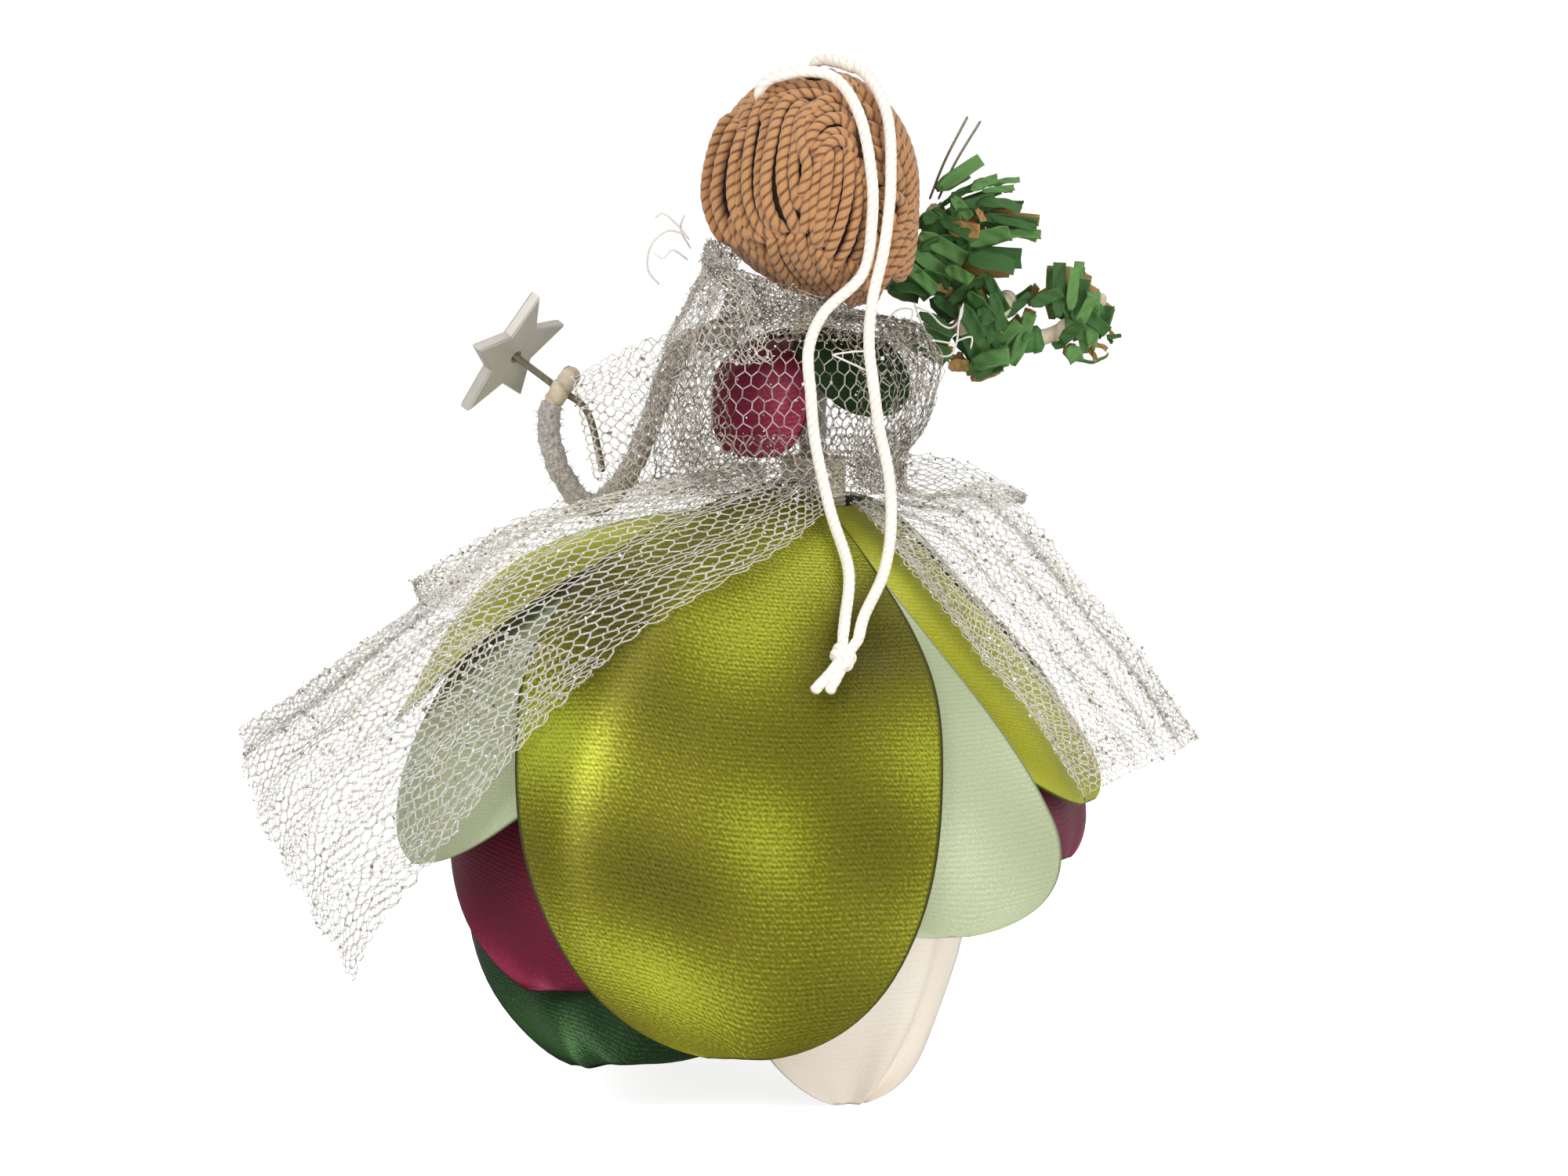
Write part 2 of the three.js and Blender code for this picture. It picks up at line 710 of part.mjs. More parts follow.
// Star wand: a wire through the curled left hand, with the star on its far end and a bent tail.
{
  const star = wandGrip.clone().addScaledVector(wandAxis, -starStand);
  const elbow = wandGrip.clone().addScaledVector(wandAxis, wandLead);
  const tail = elbow.clone().add(new THREE.Vector3(0.27, 0, -0.96).multiplyScalar(wandTail));
  const start = star.clone().addScaledVector(wandAxis, -starThickness);
  const route = smooth([start, star, wandGrip, elbow, tail]);
  add("wand_wire", tube(route, wandDiameter, 18), finishes.wire);

  const pointCount = 5;
  const notchShare = 0.46;
  const shape = new THREE.Shape(
    Array.from({ length: 2 * pointCount }, (_, i) => {
      const angle = (Math.PI * i) / pointCount;
      const radius = (starDiameter / 2 - starBevel) * (i % 2 ? notchShare : 1);
      return new THREE.Vector2(radius * Math.cos(angle), radius * Math.sin(angle));
    }),
  );
  const plate = new THREE.ExtrudeGeometry(shape, {
    depth: starThickness - 2 * starBevel,
    bevelThickness: starBevel,
    bevelSize: starBevel,
    bevelSegments: 1,
  });
  plate.translate(0, 0, starBevel - starThickness / 2);
  plate.rotateZ(THREE.MathUtils.degToRad(28));
  const normal = new THREE.Vector3(0.73, -0.42, -0.5475).normalize();
  const beside = new THREE.Vector3().crossVectors(normal, overWand);
  plate.applyMatrix4(new THREE.Matrix4().makeBasis(overWand, beside, normal));
  plate.translate(star.x, star.y, star.z);
  const boreRadius = wandDiameter / 2 + gripGap;
  const bore = new THREE.CylinderGeometry(boreRadius, boreRadius, starStand, 10);
  bore.applyQuaternion(new THREE.Quaternion().setFromUnitVectors(new THREE.Vector3(0, 1, 0), wandAxis));
  bore.translate(star.x, star.y, star.z);
  add("star", geometryOf(solid(plate).subtract(solid(bore))), finishes.starPaint);
}

// Wreath: a paper-wrapped twig through the right hand, with three tufts of cut paper leaves. The
// route holds shares of the wreath's reach from the grip. Each leaf row holds a share of the
// twig's length and where the leaf ends, as shares of the leaf length from the twig.
const twigShares = [
  [-0.26, 0.02, 0.5],
  [-0.24, 0.02, 0.3],
  [-0.137, 0.01, 0.117],
  [0, 0, 0],
  [0.114, -0.01, -0.096],
  [0.25, -0.02, -0.086],
  [0.4, -0.03, 0.01],
  [0.5, -0.04, 0.096],
];
const twigPath = smooth(
  twigShares.map(([x, y, z]) => new THREE.Vector3(x, y, z).multiplyScalar(wreathReach).add(twigGrip)),
);
add("twig", tube(twigPath, twigDiameter, 20), finishes.handPaper);
const twigBore = twigDiameter + 2 * gripGap;

const tufts = [
  {
    name: "leaves_main",
    startShare: 0.02,
    endShare: 0.42,
    leafShares: [
      [0.06, 0.53, -0.12, 0.55],
      [0.08, 0.64, 0.12, 0.49],
      [0.14, 0.85, 0, 0.55],
      [0.2, 0.99, 0.24, 0.45],
      [0.22, 1, -0.12, 0.37],
      [0.28, 0.95, 0.12, 0.37],
      [0.3, 0.68, -0.24, 0.38],
      [0.36, 0.53, 0.12, 0.24],
      [0.12, 0.44, -0.35, 0.02],
      [0.16, -0.12, -0.4, 0.1],
      [0.24, -0.22, -0.4, 0.12],
      [0.34, -0.4, -0.3, 0.16],
      [0.38, -0.22, -0.3, -0.06],
      [0.3, -0.5, 0.2, -0.05],
    ],
  },
  {
    name: "leaves_branch",
    startShare: 0.58,
    endShare: 0.73,
    leafShares: [
      [0.64, 0.1, 0.35, 0.3],
      [0.66, -0.7, -0.24, -0.26],
      [0.7, -0.37, -0.12, -0.52],
      [0.66, -0.3, 0.45, -0.4],
      [0.66, -0.01, -0.3, 0.3],
      [0.68, -0.5, 0.12, -0.53],
    ],
  },
  {
    name: "leaves_tip",
    startShare: 0.83,
    endShare: 0.98,
    leafShares: [
      [0.86, -0.25, 0, 0.6],
      [0.9, -0.16, -0.12, 0.5],
      [0.93, -0.11, 0.18, 0.38],
      [0.93, 0.2, -0.2, 0.3],
      [0.92, 0.45, 0.06, 0],
      [0.93, 0.1, 0.24, -0.45],
      [0.88, -0.09, -0.12, -0.55],
      [0.93, 0.03, -0.18, -0.51],
      [0.84, -0.36, 0.12, 0.3],
    ],
  },
];
for (const { name, startShare, endShare, leafShares } of tufts) {
  const clear = new Stretch(twigPath, Math.max(startShare - 0.05, 0), Math.min(endShare + 0.05, 1));
  const within = solid(tube(clear, twigBore, 10));
  let tuft = solid(tube(new Stretch(twigPath, startShare, endShare), leafSleeve, 3, { sides: 6 }));
  leafShares.forEach(([place, x, y, z], i) => {
    const reach = new THREE.Vector3(x, y, z);
    const length = reach.length() * leafLength;
    const lengthwise = reach.normalize();
    const tilt = Math.sin(2.4 * i);
    const facing = new THREE.Vector3(0.3 * tilt, -1, 0.6 * Math.cos(2.4 * i));
    const widthwise = new THREE.Vector3().crossVectors(facing, lengthwise).normalize();
    const normal = new THREE.Vector3().crossVectors(lengthwise, widthwise);
    const leaf = new THREE.BoxGeometry(length, leafWidth, leafThickness);
    leaf.translate(length / 2, 0, 0);
    leaf.applyMatrix4(new THREE.Matrix4().makeBasis(lengthwise, widthwise, normal));
    const root = twigPath.getPointAt(place);
    leaf.translate(root.x, root.y, root.z);
    tuft = tuft.add(solid(leaf));
  });
  add(name, geometryOf(tuft.subtract(within)), finishes.leafPaper);
}

// The twig's two fine binding wires stand out of its upper end.
{
  const wires = [
    ["twig_wire_long", -1, [0.17, 0.01, 0.37]],
    ["twig_wire_short", 1, [0.19, 0.04, 0.35]],
  ];
  const bendShare = 0.4;
  for (const [name, side, [x, y, z]] of wires) {
    const root = twigPath.getPointAt(0);
    root.x += (side * (wireEndDiameter + gripGap)) / 2;
    root.z += gripGap;
    const end = root.clone().add(new THREE.Vector3(x, y, z).multiplyScalar(wreathReach));
    const bend = root.clone().lerp(end, bendShare);
    bend.z += wireEndDiameter;
    add(name, tube(smooth([root, bend, end]), wireEndDiameter, 8, { sides: 6 }), finishes.wire);
  }
}

// The loop's root: the doubled string glued in the bead's bore.
const crown = headHeight + hairHeight / 2;
add("loop_root", upright(stringDiameter, crown - stringRootLength, crown, 12), finishes.string);

// The hanging loop falls down the back, and its two legs end in one knot over the skirt. The routes
// are hand-chosen points that keep the string clear of the hair, the net and the petals.
const legRoutes = {
  hanging_loop_leg_a: [
    [-3.9, -4.9, 97],
    [-1, -5.5, 97.6],
    [1.8, -5.8, 97.1],
    [4.2, -8.4, 93.8],
    [5.5, -9.9, 87.4],
    [5.5, -9.6, 83.3],
    [4.7, -9.1, 78.6],
    [0.9, -11.2, 74.8],
    [-0.5, -14, 71.4],
    [-0.3, -15, 67.4],
    [0.1, -14.6, 63],
    [1.5, -15.5, 56.6],
    [3.2, -21.3, 51.2],
    [2.8, -26, 47.2],
    [2.6, -27.9, 45.8],
  ],
  hanging_loop_leg_b: [
    [1.2, 0.5, 98.8],
    [4.6, -2.6, 97.7],
    [6.9, -6.5, 93.8],
    [7.3, -9.2, 87.4],
    [7, -9.3, 83.3],
    [6.6, -9.6, 80.5],
    [5.6, -9.9, 76.2],
    [5.2, -12.6, 72],
    [5.6, -14.2, 68.2],
    [6.1, -13.8, 64.4],
    [7.1, -14.3, 59.4],
    [7.2, -16.2, 54.6],
    [6.5, -19.5, 51],
    [4.5, -25.3, 47.2],
    [4, -27.6, 45.5],
  ],
};
for (const [name, route] of Object.entries(legRoutes)) {
  const path = smooth(route.map((point) => new THREE.Vector3(...point)));
  add(name, tube(path, stringDiameter, 30), finishes.string);
}

// The knot, drawn tight across both legs, with its short tail.
{
  const middle = new THREE.Vector3(2.6, -29.5, 44.1);
  const downward = new THREE.Vector3(-0.34, -0.68, -0.65).normalize();
  const outline = [0, 0.25, 0.5, 0.75, 1].map((share) => {
    const swell = 0.55 + 0.45 * Math.sin(Math.PI * share);
    return [(knotDiameter / 2) * swell, knotLength * (share - 0.5)];
  });
  const ball = turned([[0, -knotLength / 2], ...outline, [0, knotLength / 2]], 10);
  ball.applyQuaternion(new THREE.Quaternion().setFromUnitVectors(new THREE.Vector3(0, 0, 1), downward));
  ball.translate(middle.x, middle.y, middle.z);
  const tailEnd = middle.clone().addScaledVector(downward, knotLength / 2 + knotTailLength);
  tailEnd.x -= knotLength / 4;
  const tail = tube(smooth([middle, tailEnd]), stringDiameter, 3);
  add("loop_knot", geometryOf(solid(ball).add(solid(tail))), finishes.string);
}

// The origin lies under the middle of the ornament without its hanging loop.
const box = new THREE.Box3();
for (const mesh of ornament.children) {
  mesh.geometry.computeBoundingBox();
  if (!/^(hanging_loop|loop_knot)/.test(mesh.name)) box.union(mesh.geometry.boundingBox);
}
const middle = box.getCenter(new THREE.Vector3());
for (const mesh of ornament.children) mesh.geometry.translate(-middle.x, -middle.y, -box.min.z);

export default ornament;
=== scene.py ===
import bpy
import numpy as np
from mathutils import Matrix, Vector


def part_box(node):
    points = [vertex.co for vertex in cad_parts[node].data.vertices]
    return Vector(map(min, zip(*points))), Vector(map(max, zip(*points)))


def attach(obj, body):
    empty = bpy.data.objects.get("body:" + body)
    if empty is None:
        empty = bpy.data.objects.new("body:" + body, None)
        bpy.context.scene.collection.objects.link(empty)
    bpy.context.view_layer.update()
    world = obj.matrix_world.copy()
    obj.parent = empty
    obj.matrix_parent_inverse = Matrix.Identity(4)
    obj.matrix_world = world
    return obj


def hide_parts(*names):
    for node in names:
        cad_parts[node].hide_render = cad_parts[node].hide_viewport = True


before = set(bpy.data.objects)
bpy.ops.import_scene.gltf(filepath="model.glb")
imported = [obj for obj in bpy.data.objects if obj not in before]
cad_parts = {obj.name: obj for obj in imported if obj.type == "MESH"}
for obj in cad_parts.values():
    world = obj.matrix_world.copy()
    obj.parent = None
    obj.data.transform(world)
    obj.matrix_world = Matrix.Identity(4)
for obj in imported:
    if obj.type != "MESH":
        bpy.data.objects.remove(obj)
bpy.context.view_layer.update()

# The view and the studio. The ornament is seen from its back, from a little above, on a white
# table under a soft lamp on the left, three weaker ones on the right and one overhead.
low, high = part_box("head_bead")
body_axis = np.array([(low.x + high.x) / 2, (low.y + high.y) / 2, 0.0])


def at(points):
    """Points given in millimetres about the body's own axis, in metres in the row frame."""
    return body_axis + np.asarray(points, float) * 0.001


elevation = np.radians(5)
view_distance = 0.507
target = at((-2.81, 0, 47.8))
camera = bpy.data.objects.new("view", bpy.data.cameras.new("view"))
camera.data.lens = 120
camera.data.sensor_width = 36
camera.location = target + view_distance * np.array([0, -np.cos(elevation), np.sin(elevation)])
camera.rotation_euler = (np.pi / 2 - elevation, 0, 0)
bpy.context.scene.collection.objects.link(camera)
bpy.context.scene.camera = camera
bpy.context.scene.view_settings.view_transform = "Standard"


def lamp(name, place, size, watts):
    """A square soft lamp at a place in millimetres, turned to look at the ornament's middle."""
    light = bpy.data.lights.new(name, "AREA")
    light.size = size
    light.energy = watts
    lit = bpy.data.objects.new(name, light)
    lit.location = at(place)
    aim = lit.location.copy()
    aim.x, aim.y, aim.z = target - np.array(lit.location)
    lit.rotation_euler = aim.to_track_quat("-Z", "Y").to_euler()
    bpy.context.scene.collection.objects.link(lit)
    return lit


lamp("key_lamp", (-420, -480, 420), 0.32, 2.9)
lamp("fill_lamp", (330, -560, 40), 1.0, 2.0).visible_glossy = False
lamp("low_lamp", (190, -280, 14), 0.12, 0.5).visible_glossy = False
lamp("right_lamp", (430, -260, 300), 0.3, 0.6).visible_glossy = False
lamp("top_lamp", (60, 120, 620), 0.5, 1.0)


def linear(hexed):
    """The linear colour of an sRGB hex value, with alpha 1."""
    parts = np.array([int(hexed[i : i + 2], 16) / 255 for i in (1, 3, 5)])
    parts = np.where(parts <= 0.04045, parts / 12.92, ((parts + 0.055) / 1.055) ** 2.4)
    return (*parts, 1.0)


def put(tree, kind, sockets=None, stops=(), **settings):
    """Adds a shader node. settings are its properties, sockets give its inputs a value, a hex colour
    or a link, and stops are the [place, hex colour] of a ramp, in order."""
    added = tree.nodes.new("ShaderNode" + kind)
    for name, value in settings.items():
        setattr(added, name, value)
    for name, value in (sockets or {}).items():
        if isinstance(value, bpy.types.NodeSocket):
            tree.links.new(value, added.inputs[name])
        else:
            added.inputs[name].default_value = linear(value) if isinstance(value, str) else value
    for i, (place, colour) in enumerate(stops):
        stop = added.color_ramp.elements[i] if i < 2 else added.color_ramp.elements.new(place)
        stop.position, stop.color = place, linear(colour)
    return added


# The room is white where it is seen straight or through the net, and dim as a light.
room_light, room_in_gloss = 0.38, 0.2
world = bpy.data.worlds.new("white_studio")
bpy.context.scene.world = world
world.use_nodes = True
tree = world.node_tree
tree.nodes.clear()
path = put(tree, "LightPath")
glossy = put(tree, "Math", {0: path.outputs["Is Glossy Ray"], 1: room_in_gloss}, operation="MULTIPLY")
direct = put(tree, "Math", {0: path.outputs["Is Camera Ray"], 1: glossy.outputs[0]}, operation="MAXIMUM")
either = {0: direct.outputs[0], 1: path.outputs["Is Transmission Ray"]}
white = put(tree, "Math", either, operation="MAXIMUM")
level = put(tree, "MapRange", {"Value": white.outputs[0], "To Min": room_light, "To Max": 1.0})
sky = put(tree, "Background", {"Color": "#ffffff", "Strength": level.outputs[0]})
put(tree, "OutputWorld", {"Surface": sky.outputs[0]})

# The table: white card that also glows to the camera, so it is white round its own shadow.
card_glow = 0.8
table_card = bpy.data.materials.new("white_card")
table_card.use_nodes = True
tree = table_card.node_tree
tree.nodes.clear()
path = put(tree, "LightPath")
card = put(tree, "BsdfDiffuse", {"Color": (0.75, 0.75, 0.75, 1)})
glow = put(tree, "Math", {0: path.outputs["Is Camera Ray"], 1: card_glow}, operation="MULTIPLY")
shine = put(tree, "Emission", {"Color": "#ffffff", "Strength": glow.outputs[0]})
both = put(tree, "AddShader", {0: card.outputs[0], 1: shine.outputs[0]})
put(tree, "OutputMaterial", {"Surface": both.outputs[0]})
mesh = bpy.data.meshes.new("table")
mesh.from_pydata([(-4, -4, 0), (4, -4, 0), (4, 9, 0), (-4, 9, 0)], [], [(0, 1, 2, 3)])
mesh.materials.append(table_card)
table = bpy.data.objects.new("table", mesh)
bpy.context.scene.collection.objects.link(table)


# The hanging loop: soft three-ply cotton string, threaded through the bead before anything else.
# Both legs come out of the crown, fall down the back and end in one overhand knot.
def run_along(line):
    """The length of a line up to each of its points."""
    return np.r_[0, np.cumsum(np.linalg.norm(np.diff(line, axis=0), axis=1))]


def drawn(points, step):
    """A smooth line through given points, in even steps of its length. Between two points it is the centripetal
    Catmull-Rom curve of those two and their neighbours."""
    samples = 24
    points = np.asarray(points, float)
    ends = np.vstack([2 * points[0] - points[1], points, 2 * points[-1] - points[-2]])
    knots = np.cumsum(np.r_[0, np.sqrt(np.linalg.norm(np.diff(ends, axis=0), axis=1))])
    near = [ends[i : len(ends) - 3 + i, None] for i in range(4)]
    t0, t1, t2, t3 = (knots[i : len(knots) - 3 + i, None, None] for i in range(4))
    t = t1 + (t2 - t1) * (np.arange(samples) / samples)[None, :, None]
    spans = ((t0, t1, *near[0:2]), (t1, t2, *near[1:3]), (t2, t3, *near[2:4]))
    first = [((b - t) * p + (t - a) * q) / (b - a) for a, b, p, q in spans]
    second = [
        ((t2 - t) * first[0] + (t - t0) * first[1]) / (t2 - t0),
        ((t3 - t) * first[1] + (t - t1) * first[2]) / (t3 - t1),
    ]
    line = ((t2 - t) * second[0] + (t - t1) * second[1]) / (t2 - t1)
    line = np.vstack([line.reshape(-1, 3), points[-1]])
    run = run_along(line)
    places = np.linspace(0, run[-1], max(int(round(run[-1] / step)), 2) + 1)
    return np.stack([np.interp(places, run, line[:, i]) for i in range(3)], -1)


def unit(vectors):
    """Vectors of length 1."""
    return vectors / np.maximum(np.linalg.norm(vectors, axis=-1, keepdims=True), 1e-12)


def wound(line, lean, radius, angle, spin=0.0):
    """Rings round a line in millimetres. A ring's point stands off by radius in the direction of
    angle, counted from the side towards lean. Returns the rings, and the same rings on a straight
    line with the spin taken out, for patterns that follow the yarn."""
    forward = unit(np.gradient(line, axis=0))
    side = unit(np.cross(np.broadcast_to(lean, line.shape), forward))
    over = np.cross(forward, side)
    off = np.cos(angle)[..., None] * side[:, None] + np.sin(angle)[..., None] * over[:, None]
    rings = line[:, None] + radius[..., None] * off
    turned = angle - spin
    along = np.broadcast_to(run_along(line)[:, None], angle.shape)
    straight = np.stack([radius * np.cos(turned), radius * np.sin(turned), along], -1)
    return rings, straight


def round_angles(sides, run):
    """Evenly spaced angles once round, for every row of a column of lengths."""
    return np.linspace(0, 2 * np.pi, sides, endpoint=False)[None] + 0 * run


def plied(line, lean, size, plies, pitch, sides, groove, taper=0.0, ease=1.0):
    """A twisted yarn of a few plies along a line. Its radius is size/2 less the groove share times
    one minus the size of cos(plies/2 * (angle - twist)), with the twist one turn in each pitch.
    The ends are rounded over the taper length, or by ease. Returns rings, straight rings and a
    tone, which is 1 on a ply's crest and 0 in the groove."""
    run = run_along(line)[:, None]
    twist = 2 * np.pi * run / pitch
    angle = round_angles(sides, run)
    crest = np.abs(np.cos(plies / 2 * (angle - twist)))
    if taper:
        left = np.clip(np.minimum(run, run[-1] - run) / taper, 0, 1)
        ease = np.sqrt(np.clip(1 - (1 - left) ** 2, 0.02, 1))
    radius = size / 2 * (1 - groove * (1 - crest)) * ease
    rings, straight = wound(line, lean, radius, angle, twist)
    return rings, straight, crest


def built(name, parts, finish, body="fairy"):
    """One object from closed parts. A part is rings of points in millimetres, as an array of rings
    or of many such arrays, the straight rings for its pattern, and its tone. Neighbouring rings
    are joined by quads, the two ends are zipped across, and every part is turned to face out."""
    points, faces, straights, tones, start = [], [], [], [], 0
    for rings, straight, tone in parts:
        rows, sides = rings.shape[-3:-1]
        rings = rings.reshape(-1, rows * sides, 3)
        row, side = np.mgrid[0 : rows - 1, 0:sides]
        beside = (side + 1) % sides
        here, next_row = row * sides, (row + 1) * sides
        corners = [here + side, here + beside, next_row + beside, next_row + side]
        walls = np.stack(corners, -1).reshape(-1, 4)
        step = np.arange(sides // 2 - 1)
        lid = np.stack([step, step + 1, sides - 2 - step, sides - 1 - step], -1)
        quads = np.concatenate([walls, lid[:, ::-1], lid + (rows - 1) * sides])
        local = rings - rings.mean(1, keepdims=True)
        a, b, c, d = (local[:, quads[:, i]] for i in range(4))
        volume = np.einsum("kij,kij->k", a, np.cross(b, c) + np.cross(c, d))
        batch = np.repeat(quads[None], len(rings), 0)
        batch[volume < 0] = quads[:, ::-1]
        batch = batch + start + (np.arange(len(rings)) * rows * sides)[:, None, None]
        start += rings.shape[0] * rings.shape[1]
        points.append(rings.reshape(-1, 3))
        faces.append(batch.reshape(-1, 4))
        straights.append(np.broadcast_to(straight, (len(rings), *straight.shape[-3:])).reshape(-1, 3))
        tones.append(np.broadcast_to(tone, (len(rings), rows, sides)).ravel())
    points, faces = np.concatenate(points), np.concatenate(faces).astype(np.int32)
    mesh = bpy.data.meshes.new(name)
    mesh.vertices.add(len(points))
    mesh.vertices.foreach_set("co", at(points).astype(np.float32).ravel())
    mesh.loops.add(faces.size)
    mesh.loops.foreach_set("vertex_index", faces.ravel())
    mesh.polygons.add(len(faces))
    mesh.polygons.foreach_set("loop_start", np.arange(len(faces), dtype=np.int32) * 4)
    mesh.update(calc_edges=True)
    mesh.shade_smooth()
    held = mesh.attributes.new("straight", "FLOAT_VECTOR", "POINT")
    held.data.foreach_set("vector", np.concatenate(straights).astype(np.float32).ravel())
    held = mesh.attributes.new("tone", "FLOAT", "POINT")
    held.data.foreach_set("value", np.concatenate(tones).astype(np.float32))
    mesh.materials.append(finish)
    made = bpy.data.objects.new(name, mesh)
    bpy.context.scene.collection.objects.link(made)
    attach(made, body)
    return made


def started(name, sockets):
    """A new material with these values on its shader, with its tree and shader."""
    material = bpy.data.materials.new(name)
    material.use_nodes = True
    shader = material.node_tree.nodes["Principled BSDF"]
    for socket, value in sockets.items():
        shader.inputs[socket].default_value = value
    return material, material.node_tree, shader


def coated(tree, shader, colour, relief=None):
    """Links a colour, and a relief if there is one, to a shader."""
    tree.links.new(colour, shader.inputs["Base Color"])
    if relief:
        tree.links.new(relief.outputs[0], shader.inputs["Normal"])


def spun_fibre(name, groove, middle, crest, rough, fuzz):
    """Spun yarn: matt, with a soft sheen from loose fibres. Its colour goes from a painted shade in the groove
    between two plies to a painted highlight on their crest, and fine hairs 0.12 mm apart run along the plies."""
    material, tree, shader = started(name, {"Roughness": rough, "Sheen Weight": fuzz, "Sheen Roughness": 0.6})
    straight = put(tree, "Attribute", attribute_name="straight").outputs["Vector"]
    tone = put(tree, "Attribute", attribute_name="tone").outputs["Fac"]
    placed = put(tree, "Mapping", {"Vector": straight, "Scale": (8, 8, 0.9)})
    hairs = put(tree, "TexNoise", {"Vector": placed.outputs[0], "Scale": 1.0, "Detail": 3.0})
    mixed = put(tree, "Math", {0: hairs.outputs["Fac"], 1: 0.5, 2: tone}, operation="MULTIPLY_ADD")
    # The ramp: painted shade in the groove, the yarn's own colour between, and a painted highlight on the
    # crest.
    stops = [(0.25, groove), (0.6, middle), (13 / 15, crest)]
    shade = put(tree, "ValToRGB", {"Fac": mixed.outputs[0]}, stops)
    lift = put(tree, "Bump", {"Height": hairs.outputs["Fac"], "Strength": 0.5, "Distance": 0.0001})
    coated(tree, shader, shade.outputs["Color"], lift)
    return material


cotton = spun_fibre("cotton_string", "#dccfb9", "#eae1d2", "#f4eee3", 0.9, 0.4)
string_size = 1.1
towards_front = np.array([0.0, 1.0, 0.0])
leg_a = [
    (-3.9, -4.9, 97), (-1, -5.5, 97.6), (1.8, -5.8, 97.1), (4.2, -8.4, 93.8), (5.5, -9.9, 87.4),
    (5.5, -9.6, 83.3), (4.7, -9.1, 78.6), (0.9, -11.2, 74.8), (-0.5, -14, 71.4), (-0.3, -15, 67.4),
    (0.1, -14.6, 63), (1.5, -15.5, 56.6), (3.2, -21.3, 51.2), (2.8, -26, 47.2), (2.6, -27.9, 45.8),
]
leg_b = [
    (1.2, 0.5, 98.8), (4.6, -2.6, 97.7), (6.9, -6.5, 93.8), (7.3, -9.2, 87.4), (7, -9.3, 83.3),
    (6.6, -9.6, 80.5), (5.6, -9.9, 76.2), (5.2, -12.6, 72), (5.6, -14.2, 68.2), (6.1, -13.8, 64.4),
    (7.1, -14.3, 59.4), (7.2, -16.2, 54.6), (6.5, -19.5, 51), (4.5, -25.3, 47.2), (4, -27.6, 45.5),
]


def string(line, lean=towards_front, size=string_size, pitch=2.6, groove=0.08, taper=0.3):
    """Three-ply string along a line, its plies one turn round in each pitch."""
    return plied(line, lean, size, 3, pitch, 18, groove, taper)


# The knot: two turns of the string drawn tight round both legs, and two short ends that untwist.
knot_middle = np.array([2.6, -29.5, 44.1])
knot_down = unit(np.array([-0.34, -0.68, -0.65]))
knot_side = unit(np.cross(knot_down, towards_front))
knot_front = np.cross(knot_side, knot_down)
knot_turns, knot_wide, knot_deep, knot_half_height, knot_points = 2.3, 0.78, 0.62, 0.85, 60
turn = np.linspace(0, 2 * np.pi * knot_turns, knot_points)[:, None]
rise = np.linspace(-knot_half_height, knot_half_height, knot_points)[:, None]
round_it = knot_wide * np.cos(turn) * knot_side + knot_deep * np.sin(turn) * knot_front
round_it = knot_middle + round_it + rise * knot_down
knot_parts = [string(round_it, knot_down, 0.95, taper=0.4)]
for leg, side, length, splay in ((leg_a, -1, 5.0, -1.1), (leg_b, 1, 4.3, 0.2)):
    end = [
        (np.array(leg[-2]) + leg[-1]) / 2,
        leg[-1],
        knot_middle + 0.2 * side * knot_side,
        knot_middle + 1.8 * knot_down + 0.3 * side * knot_side,
        knot_middle + length * knot_down + splay * knot_side + 0.3 * knot_front,
    ]
    knot_parts.append(string(drawn(end, 0.2), size=1.04, pitch=3.2))
string_knot = built("string_knot", knot_parts, cotton)
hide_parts("loop_knot")

for name, route, real_length in (("string_leg_a", leg_a, 0.0688), ("string_leg_b", leg_b, 0.0675)):
    leg = built(name, [string(drawn(route, 0.25), groove=0.05)], cotton)
    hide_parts("hanging_loop_" + name[-5:])
    at(drawn(route, 2.5))

# What runs inside the head is the same string, doubled and glued into the bead's bore.
crown_low, crown_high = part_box("loop_root")
line = drawn([(0, 0, crown_low.z * 1000), (0, 0, crown_high.z * 1000)], 0.25)
dives = [
    drawn([leg_a[1], leg_a[0], (-5.1, -4.4, 95.9), (-4.9, -3.4, 94.4)], 0.2)[5:],
    drawn([leg_b[1], leg_b[0], (0.2, 1.3, 98.4), (0.1, 2.0, 96.4)], 0.2)[5:],
]
root_parts = [string(part, taper=0.0) for part in (line, *dives)]
string_root = built("string_root", root_parts, cotton)
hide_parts("loop_root")

# The head: an 18 mm turned beech bead, left bare and sealed with a thin matt varnish. It is bored
# at the bottom for the stem and at the top for the string.
bead_radius, head_height = 9.0, 86.4
# A colour mix goes by its sockets' numbers, because its other kinds share their names.
mix_a, mix_b, mixed_out = 6, 7, 2


def turned_body(outline, sides):
    """Rings of a turned body about the upright axis, one for each [radius, height] of its outline."""
    outline = np.asarray(outline, float)
    angle = np.linspace(0, 2 * np.pi, sides, endpoint=False)
    radius = outline[:, 0, None]
    height = outline[:, 1, None] + 0 * angle
    return np.stack([radius * np.cos(angle), radius * np.sin(angle), height], -1)


